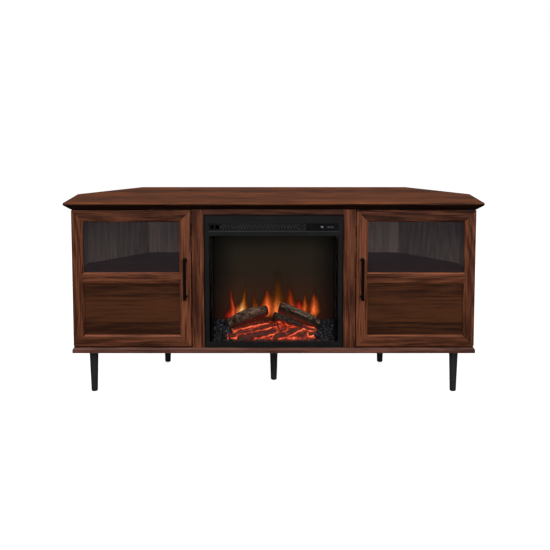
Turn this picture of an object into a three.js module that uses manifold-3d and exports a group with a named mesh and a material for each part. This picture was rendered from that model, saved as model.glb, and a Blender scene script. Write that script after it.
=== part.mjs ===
// A corner television stand with a glazed door each side and an electric fire in its middle bay.
// Millimetres, +Z up, +X to the viewer's right, the front facing -Y.
// Plans are drawn with y = 0 at the top board's front edge and y growing towards the wall.
import * as THREE from "three";
import { mergeVertices } from "three/addons/utils/BufferGeometryUtils.js";
import Module from "manifold-3d";

const wasm = await Module();
wasm.setup();

// General clearances
const seam = 0.3; // between two pieces that touch
const overrun = 5; // how far a cut runs past the surface that it opens
const running = 0.3; // round a shaft or pin that turns
const mergeDistance = 1e-4;

// Top board
const topWidth = 1372;
const topDepth = 406;
const topSideDepth = 212; // straight part of each end, before the board turns to the wall
const topThickness = 25;
const noseHeight = 8;
const noseRound = 2.4;
const overhang = 21; // top board past the doors, the sides and the slanted backs
const backOverhang = 16;

// Base board and legs
const baseThickness = 18;
const baseProjection = 4;
const baseBevelHeight = 6;
const legLength = 143;
const legTopRadius = 15;
const legFootRadius = 10.5;
const legFootRound = 3;
const studRadius = 4;
const studLength = 12;
const frontLegInset = 59; // from the body's side
const frontLegSetback = 39; // behind the doors' faces
const centreLegY = 168;
const rearLegInset = 83; // from the back's end
const rearLegSetback = 33; // in front of the back

// Carcass boards
const carcassHeight = 464;
const boardThickness = 15;
const backThickness = 6;

// Middle bay
const bayWidth = 460;
const stileWidth = 39.5;
const stileThickness = 18;
const bayRailHeight = 17;

// Back board openings
const cableHoleRadius = 19;
const cableHoleInset = 61; // from the front stile's outer side
const cableHoleHeight = 90; // above the shelf
const ventWidth = 260;
const ventHeight = 12;
const ventPitch = 34;
const ventCount = 8;
const ventBottom = 80; // above the base board

// Shelves and their pegs
const shelfThickness = 15;
const shelfHeight = 247; // top of the shelf above the base board
const shelfSetback = 14;
const shelfPlay = 0.5;
const pegRadius = 2.5;
const pegReach = 9;
const pegHoleDepth = 8;
const pegPitch = 32;
const pegFrontY = 62;
const pegBackInset = 54;
const slantPegInset = 90; // from the side board

// Doors
const doorThickness = 18;
const doorStandOff = 2.5; // between a door's back and the boards behind it
const doorGapInner = 3.5;
const doorGapTop = 3.5;
const doorGapBottom = 4.5;
const memberWidth = 38;
const lowerOpeningHeight = 172.5;
const frameBevelWidth = 5;
const frameBevelDepth = 4;
const frameEdgeBreak = 1;
const rebateWidth = 8;
const lipThickness = 8;
const panelThickness = 5;
const glassThickness = 4;
const rebatePlay = 0.5;

// Door handles
const handleLength = 139;
const handleWidth = 10;
const handleDepth = 8;
const handleReach = 28;
const handleEdgeBreak = 1.5;
const handlePostInset = 8; // from a bar's end to its post's middle
const handlePostRadius = 4.5;
const handleFootRadius = 7;
const handleFootHeight = 3;
const handleCentreHeight = 230; // above the door's bottom edge

// Door pivots
const pivotInset = 6; // from the door's outer edge
const leafThickness = 1.2;
const leafEyeRadius = 6;
const leafPinRadius = 2;
const doorLeafLength = 58;
const leafFlangeWidth = 22;
const leafFlangeDepth = 34;

// Door catches
const catchWidth = 14;
const catchDepth = 26;
const catchHeight = 34;
const catchEdgeBreak = 3;
const catchBelowTop = 60;

// Fire insert: front frame, counted from its top edge down
const insertSidePlay = 2; // beside the frame in the bay, at each side
const insertTopPlay = 2.5;
const insertSetback = 1;
const bezelThickness = 12;
const bezelSide = 15;
const bezelTop = 28;
const ventStripHeight = 23.5;
const bezelBand = 17.5;
const bezelBottom = 19;
const bezelLip = 7; // thickness in front of the glass and the vent strip
const glassBearing = 4;
const fireGlassThickness = 4;
const drawLipHeight = 3;
const drawLipProjection = 0.8;

// Fire insert: vent strip
const stripThickness = 1.5;
const stripSetback = 2.5;
const controlWidth = 107;
const controlThickness = 3;
const holeRadius = 3.2;
const holePitch = 10.2;
const holeRows = 3;
const holeRowPitch = 7.2;
const holeMargin = 3;
const slotWidth = 12;
const slotHeight = 15;
const slotPitch = 17;
const slotCount = 2;
const slotMargin = 4;
const displayWidth = 13;
const displayHeight = 6;
const displayDepth = 1;
const displayInset = 61.5; // from the strip's right end to the display's near side
const buttonWidth = 8;
const buttonHeight = 5;
const buttonPitch = 11;
const buttonInset = 21;
const buttonDepth = 5;
const buttonHeadHeight = 1.2;
const buttonCollar = 1.5;

// Fire insert: case
const caseSideInset = 23; // from the front frame's outline
const caseTopInset = 6.5;
const caseDepth = 140;
const sheet = 1.5;
const heaterFloorDrop = 13; // heater chamber's floor below the vent strip
const caseSlotWidth = 60;
const caseSlotHeight = 6;
const caseSlotPitch = 14;
const caseSlotRows = 4;
const caseSlotColumns = 4;
const caseSlotColumnPitch = 80;
const glandRadius = 8;
const glandWall = 3;
const glandReach = 6;
const glandX = 160;
const glandHeight = 60;

// Fire insert: blower
const blowerRadius = 17;
const blowerLength = 250;
const blowerInset = 35; // from the case's left side
const blowerY = 90; // behind the top board's front edge
const blowerHeight = 28; // above the heater chamber's floor
const blowerShaftRadius = 2.5;
const blowerShaftReach = 9;
const blowerDisc = 2;
const bladeCount = 18;
const bladeThickness = 0.9;
const bladeChord = 7;
const scrollGap = 4;
const scrollWall = 1.5;
const scrollSteps = 14;

// Fire insert: flame screen, rotor and its motor
const screenThickness = 3;
const screenY = 108;
const rotorY = 136;
const rotorHeight = 46; // above the case's underside
const rotorShaftRadius = 2.5;
const rotorRadius = 16;
const rotorFlagWidth = 18;
const rotorFlagPitch = 26;
const rotorFlagCount = 12;
const rotorFlagThickness = 1;
const motorRadius = 17;
const motorLength = 22;
const motorBore = 8;
const earWidth = 22;
const earInset = 14; // from the case's right wall

// Fire insert: log set
const bedFrontY = 38;
const bedBackY = 104;
const bedPlay = 1.5; // beside the bed in the case
const bedBase = 12;
const bedCrown = 50;
const bedSteps = 14;
const coalRadius = 12;
const coalSink = 6; // of each coal into the next
const coalSpread = 68; // width of the heap of coals at each end
const coalHeapRise = 24; // of the coals above the bed at its back
const emberRadius = 8;
const emberInset = 70; // from the bed's end to the branches' outer ends
const logY = 78;
const leftLogRadius = 20;
const leftLogInset = 51; // of its lower end from the bed's end
const leftLogTip = -19; // x of its upper end
const leftLogHeight = 60; // of its lower end's middle above the tray
const leftLogRise = 52;
const rightLogRadius = 18.5;
const rightLogInset = 48;
const rightLogTip = 22;
const rightLogHeight = 120; // of its upper end's middle above the tray
const rightLogDrop = 66;
const middleLogRadius = 12;
const middleLogX = -4;
const middleLogY = 60;
const middleLogHeight = 96;
const middleLogRun = 96;
const middleLogDrop = 42;

// Places worked out from the sizes
const root2 = Math.SQRT2;
const baseBottom = legLength;
const baseTop = baseBottom + baseThickness;
const topUnderside = baseTop + carcassHeight;
const standHeight = topUnderside + topThickness;
const halfTop = topWidth / 2;
const bodyHalf = halfTop - overhang;
const slant = halfTop + topSideDepth; // x + y along the top board's slanted edge
const bodySlant = slant - overhang * root2;
const innerSlant = bodySlant - boardThickness * root2;
const bodyBack = topDepth - backOverhang;
const innerBack = bodyBack - backThickness;
const doorFront = overhang;
const doorBack = doorFront + doorThickness;
const carcassFront = doorBack + doorStandOff;
const boardBottom = baseTop + seam;
const boardTop = topUnderside - seam;
const bayHalf = bayWidth / 2;
const insertWidth = bayWidth - 2 * insertSidePlay;
const insertHeight = carcassHeight - bayRailHeight - insertTopPlay;
const caseHeight = insertHeight - caseTopInset;
const stileOuter = bayHalf + stileWidth;
const dividerInner = stileOuter - boardThickness;
const sideInner = bodyHalf - boardThickness;
const doorInner = stileOuter + doorGapInner;
const cableHoleX = stileOuter + cableHoleInset;
const frontLegX = bodyHalf - frontLegInset;
const frontLegY = overhang + frontLegSetback;
const rearLegX = bodySlant - bodyBack - rearLegInset;
const rearLegY = bodyBack - rearLegSetback;
const pegRearY = innerBack - pegBackInset;
const slantPegX = sideInner - slantPegInset;
const doorWidth = bodyHalf - doorInner;
const doorBottom = baseTop + doorGapBottom;
const doorTop = topUnderside - doorGapTop;
const doorHeight = doorTop - doorBottom;
const midRailBottom = doorBottom + memberWidth + lowerOpeningHeight;
const midRailTop = midRailBottom + memberWidth;
const shelfTop = baseTop + shelfHeight;
const pegZ = shelfTop - shelfThickness - seam - pegRadius;
const handleFront = doorFront - handleReach;
const caseY = overhang + insertSetback + bezelThickness + seam;
const caseBottom = baseTop + seam;
const insertTop = caseBottom + insertHeight;
const stripTop = insertTop - bezelTop;
const stripBottom = stripTop - ventStripHeight;
const windowTop = stripBottom - bezelBand;
const windowBottom = caseBottom + bezelBottom;
const bezelFront = overhang + insertSetback;
const windowHalf = insertWidth / 2 - bezelSide;
const stripFront = bezelFront + stripSetback;
const controlLeft = windowHalf - controlWidth;
const heaterZ = stripBottom - heaterFloorDrop;
const caseHalf = insertWidth / 2 - caseSideInset;
const blowerStart = blowerInset - caseHalf;
const bedHalf = caseHalf - sheet - bedPlay;
const emberReach = bedHalf - emberInset;
const coalPitch = 2 * coalRadius - coalSink;
const blowerZ = heaterZ + blowerHeight;
const rotorZ = caseBottom + rotorHeight;
const trayFloor = caseBottom + sheet + seam;

// Materials
const wood = new THREE.MeshStandardMaterial({ color: 0x5c3526, roughness: 0.45, metalness: 0 });
const darkWood = new THREE.MeshStandardMaterial({ color: 0x46291c, roughness: 0.5, metalness: 0 });
const blackMetal = new THREE.MeshStandardMaterial({ color: 0x121212, roughness: 0.4, metalness: 0.6 });
const blackPlastic = new THREE.MeshStandardMaterial({ color: 0x161717, roughness: 0.45, metalness: 0 });
const steel = new THREE.MeshStandardMaterial({ color: 0x8c8f92, roughness: 0.35, metalness: 0.9 });
const doorGlass = new THREE.MeshStandardMaterial({
  color: 0x2e2c33, roughness: 0.05, metalness: 0, transparent: true, opacity: 0.35,
});
const screenGlass = new THREE.MeshStandardMaterial({ color: 0x1c1712, roughness: 0.3, metalness: 0 });
const charredWood = new THREE.MeshStandardMaterial({ color: 0x3d322a, roughness: 0.9, metalness: 0 });
const ember = new THREE.MeshStandardMaterial({
  color: 0x7a2a12, roughness: 0.8, metalness: 0, emissive: 0xff4a14, emissiveIntensity: 0.6,
});
const buttonPlastic = new THREE.MeshStandardMaterial({ color: 0x6b6e70, roughness: 0.5, metalness: 0 });

// Solids and surfaces

function box(x0, x1, y0, y1, z0, z1) {
  const shape = new THREE.BoxGeometry(x1 - x0, y1 - y0, z1 - z0);
  return shape.translate((x0 + x1) / 2, (y0 + y1) / 2, (z0 + z1) / 2);
}

function shapeOf(outline, holes = []) {
  const shape = new THREE.Shape(outline.map(([x, y]) => new THREE.Vector2(x, y)));
  for (const hole of holes) {
    shape.holes.push(new THREE.Path(hole.map(([x, y]) => new THREE.Vector2(x, y))));
  }
  return shape;
}

// An outline in plan, raised from one height to another.
function prism(outline, low, high, holes = []) {
  const options = { depth: high - low, bevelEnabled: false, curveSegments: 12 };
  return new THREE.ExtrudeGeometry(shapeOf(outline, holes), options).translate(0, 0, low);
}

// An outline seen from the front, as (x, z), from one depth to another.
function frontPlate(outline, front, back) {
  const plate = prism(outline, 0, back - front);
  return plate.rotateX(Math.PI / 2).translate(0, back, 0);
}

// An outline seen from the side, as (y, z), from one x to another.
function sidePlate(outline, x0, x1) {
  const plate = prism(outline, 0, x1 - x0);
  return plate.applyMatrix4(
    new THREE.Matrix4().makeBasis(
      new THREE.Vector3(0, 1, 0),
      new THREE.Vector3(0, 0, 1),
      new THREE.Vector3(1, 0, 0),
    ),
  ).translate(x0, 0, 0);
}

function circle(x, y, radius, sides) {
  return Array.from({ length: sides }, (_, i) => {
    const angle = (2 * Math.PI * i) / sides;
    return [x + radius * Math.cos(angle), y + radius * Math.sin(angle)];
  });
}

// A surface through rings with the same number of points, closed by a flat face at each end.
function skin(rings, capOutline) {
  const count = capOutline.length;
  const caps = THREE.ShapeUtils.triangulateShape(
    capOutline.map(([u, v]) => new THREE.Vector2(u, v)),
    [],
  );
  const index = [];
  for (let ring = 0; ring + 1 < rings.length; ring++) {
    for (let i = 0; i < count; i++) {
      const next = (i + 1) % count;
      const a = ring * count + i;
      const b = ring * count + next;
      index.push(a, b, b + count, a, b + count, a + count);
    }
  }
  const last = (rings.length - 1) * count;
  for (const [a, b, c] of caps) {
    index.push(a, c, b);
    index.push(last + a, last + b, last + c);
  }
  const surface = new THREE.BufferGeometry();
  surface.setAttribute("position", new THREE.Float32BufferAttribute(rings.flat(2), 3));
  surface.setIndex(index);
  return facingOut(surface);
}

// The same closed surface with its faces turned outwards.
function facingOut(surface) {
  const place = surface.getAttribute("position");
  const index = surface.index.array;
  const corners = [new THREE.Vector3(), new THREE.Vector3(), new THREE.Vector3()];
  let volume = 0;
  for (let i = 0; i < index.length; i += 3) {
    corners.forEach((corner, k) => corner.fromBufferAttribute(place, index[i + k]));
    volume += corners[0].dot(corners[1].clone().cross(corners[2]));
  }
  if (volume < 0) {
    for (let i = 0; i < index.length; i += 3) {
      [index[i + 1], index[i + 2]] = [index[i + 2], index[i + 1]];
    }
  }
  return surface;
}

function solidOf(geometry) {
  const bare = geometry.clone();
  bare.deleteAttribute("normal");
  bare.deleteAttribute("uv");
  const merged = mergeVertices(bare, mergeDistance);
  return new wasm.Manifold(
    new wasm.Mesh({
      numProp: 3,
      vertProperties: merged.getAttribute("position").array,
      triVerts: new Uint32Array(merged.index.array),
    }),
  );
}

function geometryOf(solid) {
  const mesh = solid.getMesh();
  const geometry = new THREE.BufferGeometry();
  geometry.setAttribute("position", new THREE.BufferAttribute(mesh.vertProperties, mesh.numProp));
  geometry.setIndex(new THREE.BufferAttribute(mesh.triVerts, 1));
  return geometry;
}

function joined(...pieces) {
  return geometryOf(pieces.map(solidOf).reduce((whole, piece) => whole.add(piece)));
}

function cut(body, ...tools) {
  const tool = tools.map(solidOf).reduce((whole, piece) => whole.add(piece));
  return geometryOf(solidOf(body).subtract(tool));
}

function addMesh(parent, name, geometry, material) {
  if (!geometry.getAttribute("normal")) geometry.computeVertexNormals();
  const mesh = new THREE.Mesh(geometry, material);
  mesh.name = name;
  parent.add(mesh);
  return mesh;
}

// A round bar along x, y or z, centred where it starts.
function bar(axis, radius, length, sides = 16) {
  const rod = new THREE.CylinderGeometry(radius, radius, length, sides);
  rod.translate(0, length / 2, 0);
  if (axis === "x") rod.rotateZ(-Math.PI / 2);
  if (axis === "z") rod.rotateX(Math.PI / 2);
  return rod;
}

// The stand's plan, drawn in by the same amount at the front, ends and slants.
function plan(inset, backInset) {
  const half = halfTop - inset;
  const corner = slant - inset * root2;
  const back = topDepth - backInset;
  return [
    [-half, inset],
    [half, inset],
    [half, corner - half],
    [corner - back, back],
    [back - corner, back],
    [-half, corner - half],
  ];
}

// Boards of the carcass

function topBoard() {
  const levels = [
    [topUnderside, overhang],
    [standHeight - noseHeight - noseRound / 2, noseRound / 2],
    [standHeight - noseHeight + noseRound / 2, 0],
    [standHeight - noseRound, 0],
    [standHeight - noseRound / 4, noseRound / 3],
    [standHeight, noseRound],
  ];
  const rings = levels.map(([z, inset]) => plan(inset, 0).map(([x, y]) => [x, y, z]));
  return skin(rings, plan(0, 0));
}

function legPlaces() {
  return {
    front_left_leg: [-frontLegX, frontLegY],
    front_right_leg: [frontLegX, frontLegY],
    centre_leg: [0, centreLegY],
    rear_left_leg: [-rearLegX, rearLegY],
    rear_right_leg: [rearLegX, rearLegY],
  };
}

function baseBoard() {
  const edge = overhang - baseProjection;
  const levels = [
    [baseBottom, edge],
    [baseTop - baseBevelHeight, edge],
    [baseTop, overhang],
  ];
  const rings = levels.map(([z, inset]) => plan(inset, backOverhang).map(([x, y]) => [x, y, z]));
  const board = skin(rings, plan(edge, backOverhang));
  const sockets = Object.values(legPlaces()).map(([x, y]) => {
    const socket = bar("z", studRadius + seam, studLength + seam + overrun, 12);
    return socket.translate(x, y, baseBottom - overrun);
  });
  return cut(board, ...sockets);
}

// Pegs that carry the shelf in the middle hole of each row, and the spare holes above and below.
function withPegs(board, rows) {
  const holes = [];
  const pegs = [];
  for (const { x, y, angle } of rows) {
    const turned = (piece, back, z) => {
      return piece.translate(-back, 0, 0).rotateZ(angle).translate(x, y, z);
    };
    for (const step of [-1, 1]) {
      const hole = bar("x", pegRadius, pegHoleDepth + overrun, 8);
      holes.push(turned(hole, pegHoleDepth, pegZ + step * pegPitch));
    }
    pegs.push(turned(bar("x", pegRadius, pegReach + boardThickness / 2, 8), boardThickness / 2, pegZ));
  }
  return joined(cut(board, ...holes), ...pegs);
}

function sideBoard() {
  const outline = [
    [bodyHalf, carcassFront],
    [bodyHalf, bodySlant - bodyHalf - seam],
    [sideInner, innerSlant - sideInner - seam],
    [sideInner, carcassFront],
  ];
  const board = prism(outline, boardBottom, boardTop);
  return withPegs(board, [{ x: sideInner, y: pegFrontY, angle: Math.PI }]);
}

function slantedBoard() {
  const end = innerBack - seam;
  const outline = [
    [bodyHalf, bodySlant - bodyHalf],
    [bodySlant - end, end],
    [innerSlant - end, end],
    [sideInner, innerSlant - sideInner],
  ];
  const board = prism(outline, boardBottom, boardTop);
  const row = { x: slantPegX, y: innerSlant - slantPegX, angle: (-3 * Math.PI) / 4 };
  return withPegs(board, [row]);
}

function dividerBoard() {
  const front = doorFront + stileThickness + seam;
  const board = box(dividerInner, stileOuter, front, innerBack - seam, boardBottom, boardTop);
  const rows = [pegFrontY, pegRearY].map((y) => ({ x: stileOuter, y, angle: 0 }));
  return withPegs(board, rows);
}

function backBoard() {
  const outline = [
    [innerBack - bodySlant, innerBack],
    [bodySlant - innerBack, innerBack],
    [bodySlant - bodyBack, bodyBack],
    [bodyBack - bodySlant, bodyBack],
  ];
  const board = prism(outline, boardBottom, boardTop);
  const through = backThickness + 2 * overrun;
  const holes = [-cableHoleX, cableHoleX].map((x) => {
    const hole = bar("y", cableHoleRadius, through, 24);
    return hole.translate(x, innerBack - overrun, shelfTop + cableHoleHeight);
  });
  const vents = Array.from({ length: ventCount }, (_, i) => {
    const low = baseTop + ventBottom + i * ventPitch;
    const back = innerBack + through - overrun;
    return box(-ventWidth / 2, ventWidth / 2, innerBack - overrun, back, low, low + ventHeight);
  });
  return cut(board, ...holes, ...vents);
}

function frontStile() {
  const back = doorFront + stileThickness;
  return box(bayHalf, stileOuter, doorFront, back, boardBottom, boardTop);
}

function bayRail() {
  const half = bayHalf - seam;
  const back = doorFront + stileThickness;
  return box(-half, half, doorFront, back, topUnderside - bayRailHeight, boardTop);
}

function shelf() {
  const front = carcassFront + shelfSetback;
  const inner = stileOuter + shelfPlay;
  const outer = sideInner - shelfPlay;
  const back = innerBack - shelfPlay;
  const corner = innerSlant - shelfPlay * root2;
  const outline = [
    [inner, front],
    [outer, front],
    [outer, corner - outer],
    [corner - back, back],
    [inner, back],
  ];
  return prism(outline, shelfTop - shelfThickness, shelfTop);
}

function leg() {
  const top = legLength - seam;
  const profile = [
    [0, 0],
    [legFootRadius - legFootRound, 0],
    [legFootRadius - legFootRound / 3, legFootRound / 3],
    [legFootRadius, legFootRound],
    [legTopRadius, top],
    [studRadius, top],
    [studRadius, legLength + studLength],
    [0, legLength + studLength],
  ];
  const turned = new THREE.LatheGeometry(profile.map(([r, z]) => new THREE.Vector2(r, z)), 24);
  return turned.rotateX(Math.PI / 2);
}

// Doors

// Section of a frame member: u runs in from the door's edge and v back from its face.
const memberSection = [
  [0, frameEdgeBreak],
  [frameEdgeBreak, 0],
  [memberWidth - frameBevelWidth, 0],
  [memberWidth, frameBevelDepth],
  [memberWidth, lipThickness],
  [memberWidth - rebateWidth, lipThickness],
  [memberWidth - rebateWidth, doorThickness],
  [0, doorThickness],
];

// A member along s with mitred ends; place turns (s, u, v) into the door's x, y, z.
function mitredMember(length, place) {
  const trim = seam / root2;
  const ends = [(u) => u + trim, (u) => length - u - trim];
  const rings = ends.map((end) => memberSection.map(([u, v]) => place(end(u), u, v)));
  return skin(rings, memberSection);
}

// The middle rail: rebated on both edges, scribed over the stiles' bevels, tenoned into their rebates.
function middleRail() {
  const face = [
    [0, frameBevelDepth],
    [frameBevelWidth, 0],
    [memberWidth - frameBevelWidth, 0],
    [memberWidth, frameBevelDepth],
  ];
  const inner = doorInner + memberWidth + seam;
  const outer = bodyHalf - memberWidth - seam;
  const scribe = (v) => frameBevelWidth * (1 - v / frameBevelDepth);
  const innerRing = face.map(([u, v]) => [inner - scribe(v), doorFront + v, midRailBottom + u]);
  const outerRing = face.map(([u, v]) => [outer + scribe(v), doorFront + v, midRailBottom + u]);
  const faceBack = doorFront + frameBevelDepth;
  const lipBack = doorFront + lipThickness;
  const coreLow = midRailBottom + rebateWidth;
  const coreHigh = midRailTop - rebateWidth;
  const reach = rebateWidth - 2 * seam;
  return joined(
    skin([innerRing, outerRing], face),
    box(inner, outer, faceBack, lipBack, midRailBottom, midRailTop),
    box(inner, outer, faceBack, doorBack, coreLow, coreHigh),
    box(inner - reach, outer + reach, lipBack + seam, doorBack, coreLow, coreHigh),
  );
}

// A flat filling that lies in the rebates of an opening between two heights.
function filling(bottom, top, thickness) {
  const bearing = rebateWidth - rebatePlay;
  const front = doorFront + lipThickness + seam;
  return box(
    doorInner + memberWidth - bearing,
    bodyHalf - memberWidth + bearing,
    front,
    front + thickness,
    bottom - bearing,
    top + bearing,
  );
}

function handle() {
  const x = doorInner + memberWidth / 2;
  const low = doorBottom + handleCentreHeight - handleLength / 2;
  const half = handleWidth / 2;
  const b = handleEdgeBreak;
  const section = [
    [-half, handleDepth],
    [-half, b],
    [b - half, 0],
    [half - b, 0],
    [half, b],
    [half, handleDepth],
  ];
  const levels = [
    [0, b / half],
    [b, 0],
    [handleLength - b, 0],
    [handleLength, b / half],
  ];
  const rings = levels.map(([z, draw]) =>
    section.map(([u, v]) => [
      x + u * (1 - draw),
      handleFront + handleDepth / 2 + (v - handleDepth / 2) * (1 - draw),
      low + z,
    ]),
  );
  const postLength = handleReach - handleDepth / 2 - seam;
  const profile = [
    [0, 0],
    [handleFootRadius, 0],
    [handleFootRadius, handleFootHeight / 3],
    [handlePostRadius, handleFootHeight],
    [handlePostRadius, postLength],
    [0, postLength],
  ];
  const posts = [handlePostInset, handleLength - handlePostInset].map((z) => {
    const post = new THREE.LatheGeometry(profile.map(([r, h]) => new THREE.Vector2(r, h)), 16);
    return post.rotateX(Math.PI).translate(x, doorFront - seam, low + z);
  });
  return joined(skin(rings, section), ...posts);
}

// Pivot leaves, drawn about the pin: one on the door's edge and one on the board beyond it
const pivotX = bodyHalf - pivotInset;
const pivotY = doorFront + doorThickness / 2;

function arcPoints(x, y, radius, from, to, steps) {
  return Array.from({ length: steps + 1 }, (_, i) => {
    const angle = from + ((to - from) * i) / steps;
    return [x + radius * Math.cos(angle), y + radius * Math.sin(angle)];
  });
}

// direction is 1 at the door's top edge and -1 at its bottom edge.
function doorLeaf(direction) {
  const edge = direction > 0 ? doorTop : doorBottom;
  const board = direction > 0 ? topUnderside : baseTop;
  const outline = [
    ...arcPoints(pivotX, pivotY, leafEyeRadius, -Math.PI / 2, Math.PI / 2, 8),
    ...arcPoints(pivotX - doorLeafLength, pivotY, leafEyeRadius, Math.PI / 2, 1.5 * Math.PI, 8),
  ];
  const near = edge + direction * seam;
  const far = near + direction * leafThickness;
  const collarEnd = board - direction * (seam + leafThickness + running);
  const pinEnd = board - direction * seam;
  const span = (radius, from, to, sides) => {
    const [low, high] = [Math.min(from, to), Math.max(from, to)];
    return bar("z", radius, high - low, sides).translate(pivotX, pivotY, low);
  };
  return joined(
    prism(outline, Math.min(near, far), Math.max(near, far)),
    span(2 * leafPinRadius, (near + far) / 2, collarEnd, 16),
    span(leafPinRadius, (near + far) / 2, pinEnd, 16),
  );
}

function boardLeaf(direction) {
  const board = direction > 0 ? topUnderside : baseTop;
  const outer = sideInner - 2 * seam;
  const inner = outer - leafFlangeWidth;
  const shoulder = pivotY + leafEyeRadius;
  const outline = [
    ...arcPoints(pivotX, pivotY, leafEyeRadius, -Math.PI / 2, Math.PI / 2, 8),
    [outer, shoulder],
    [outer, carcassFront + leafFlangeDepth],
    [inner, carcassFront + leafFlangeDepth],
    [inner, carcassFront],
    [inner + leafFlangeWidth / 2, pivotY - leafEyeRadius],
  ];
  const near = board - direction * seam;
  const far = near - direction * leafThickness;
  const hole = circle(pivotX, pivotY, leafPinRadius + running, 16);
  return prism(outline, Math.min(near, far), Math.max(near, far), [hole]);
}

// A magnetic catch on the divider's cupboard side, its face just behind the closed door.
function doorCatch() {
  const x0 = stileOuter + seam;
  const x1 = x0 + catchWidth;
  const y0 = doorBack + seam;
  const b = catchEdgeBreak;
  const outline = [
    [x0, y0],
    [x1 - b, y0],
    [x1, y0 + b],
    [x1, y0 + catchDepth - b],
    [x1 - b, y0 + catchDepth],
    [x0, y0 + catchDepth],
  ];
  const high = topUnderside - catchBelowTop;
  return prism(outline, high - catchHeight, high);
}

function addDoor(parent, hand) {
  const vertical = (x, inward) => (s, u, v) => [x + inward * u, doorFront + v, doorBottom + s];
  const level = (z, upward) => (s, u, v) => [doorInner + s, doorFront + v, z + upward * u];
  const add = (name, geometry, material) => addMesh(parent, hand + "_" + name, geometry, material);
  add("door_outer_stile", mitredMember(doorHeight, vertical(bodyHalf, -1)), wood);
  add("door_inner_stile", mitredMember(doorHeight, vertical(doorInner, 1)), wood);
  add("door_top_rail", mitredMember(doorWidth, level(doorTop, -1)), wood);
  add("door_bottom_rail", mitredMember(doorWidth, level(doorBottom, 1)), wood);
  add("door_middle_rail", middleRail(), wood);
  const openingBottom = doorBottom + memberWidth;
  const openingTop = doorTop - memberWidth;
  add("door_panel", filling(openingBottom, midRailBottom, panelThickness), darkWood);
  add("door_glass", filling(midRailTop, openingTop, glassThickness), doorGlass);
  add("door_handle", handle(), blackMetal);
  add("upper_door_leaf", doorLeaf(1), steel);
  add("lower_door_leaf", doorLeaf(-1), steel);
}

// Fire insert

function bezel() {
  const half = insertWidth / 2;
  const back = bezelFront + bezelThickness;
  const plate = box(-half, half, bezelFront, back, caseBottom, insertTop);
  const lipBack = bezelFront + bezelLip;
  const opening = (low, high) =>
    box(-windowHalf, windowHalf, bezelFront - overrun, back + overrun, low, high);
  const rebate = (low, high) =>
    box(-windowHalf - glassBearing, windowHalf + glassBearing, lipBack, back + overrun, low, high);
  const drawLip = box(
    -windowHalf,
    windowHalf,
    bezelFront - drawLipProjection,
    lipBack,
    stripBottom - drawLipHeight,
    stripBottom,
  );
  const cuts = cut(
    plate,
    opening(windowBottom, windowTop),
    opening(stripBottom, stripTop),
    rebate(windowBottom - glassBearing, windowTop + glassBearing),
    rebate(stripBottom - glassBearing, stripTop + glassBearing),
  );
  return joined(cuts, drawLip);
}

function fireGlass() {
  const bearing = glassBearing - rebatePlay;
  const front = bezelFront + bezelLip + seam;
  return box(
    -windowHalf - bearing,
    windowHalf + bearing,
    front,
    front + fireGlassThickness,
    windowBottom - bearing,
    windowTop + bearing,
  );
}

// The perforated outlet plate, with staggered round holes and two sensor slots at its left end.
function outletGrille() {
  const left = -windowHalf + seam;
  const right = controlLeft - seam;
  const middle = (stripTop + stripBottom) / 2;
  const [front, back] = [stripFront - overrun, stripFront + stripThickness + overrun];
  const slots = Array.from({ length: slotCount }, (_, i) => {
    const x = left + slotMargin + i * slotPitch;
    return box(x, x + slotWidth, front, back, middle - slotHeight / 2, middle + slotHeight / 2);
  });
  const holes = [];
  const start = left + slotMargin + slotCount * slotPitch + holeMargin;
  for (let row = 0; row < holeRows; row++) {
    const z = middle + (row - (holeRows - 1) / 2) * holeRowPitch;
    const shift = (row % 2) * (holePitch / 2);
    for (let x = start + shift; x < right - holeMargin; x += holePitch) {
      holes.push(frontPlate(circle(x, z, holeRadius, 8), front, back));
    }
  }
  const plateBack = stripFront + stripThickness;
  const plate = box(left, right, stripFront, plateBack, stripBottom + seam, stripTop - seam);
  return cut(plate, ...slots, ...holes);
}

function buttonPlaces() {
  const middle = (stripTop + stripBottom) / 2;
  const right = windowHalf - buttonInset;
  return { power_button: [right - buttonPitch, middle], heat_button: [right, middle] };
}

function controlPanel() {
  const middle = (stripTop + stripBottom) / 2;
  const keyholes = Object.values(buttonPlaces()).map(([x, z]) => {
    const halfWidth = buttonWidth / 2 + seam;
    const halfHeight = buttonHeight / 2 + seam;
    const [front, back] = [stripFront - overrun, stripFront + controlThickness + overrun];
    return box(x - halfWidth, x + halfWidth, front, back, z - halfHeight, z + halfHeight);
  });
  const plate = box(
    controlLeft + seam,
    windowHalf - seam,
    stripFront,
    stripFront + controlThickness,
    stripBottom + seam,
    stripTop - seam,
  );
  const displayLeft = windowHalf - displayInset;
  const display = box(
    displayLeft,
    displayLeft + displayWidth,
    stripFront - overrun,
    stripFront + displayDepth,
    middle - displayHeight / 2,
    middle + displayHeight / 2,
  );
  return cut(plate, display, ...keyholes);
}

// A push button with a collar behind the panel that keeps it from falling out.
function pushButton() {
  const back = stripFront + controlThickness;
  const halfWidth = buttonWidth / 2;
  const halfHeight = buttonHeight / 2;
  const head = box(
    -halfWidth,
    halfWidth,
    stripFront - buttonHeadHeight,
    back + buttonDepth,
    -halfHeight,
    halfHeight,
  );
  const collar = box(
    -halfWidth - buttonCollar,
    halfWidth + buttonCollar,
    back + seam,
    back + seam + buttonCollar,
    -halfHeight - buttonCollar,
    halfHeight + buttonCollar,
  );
  return joined(head, collar);
}

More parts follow.
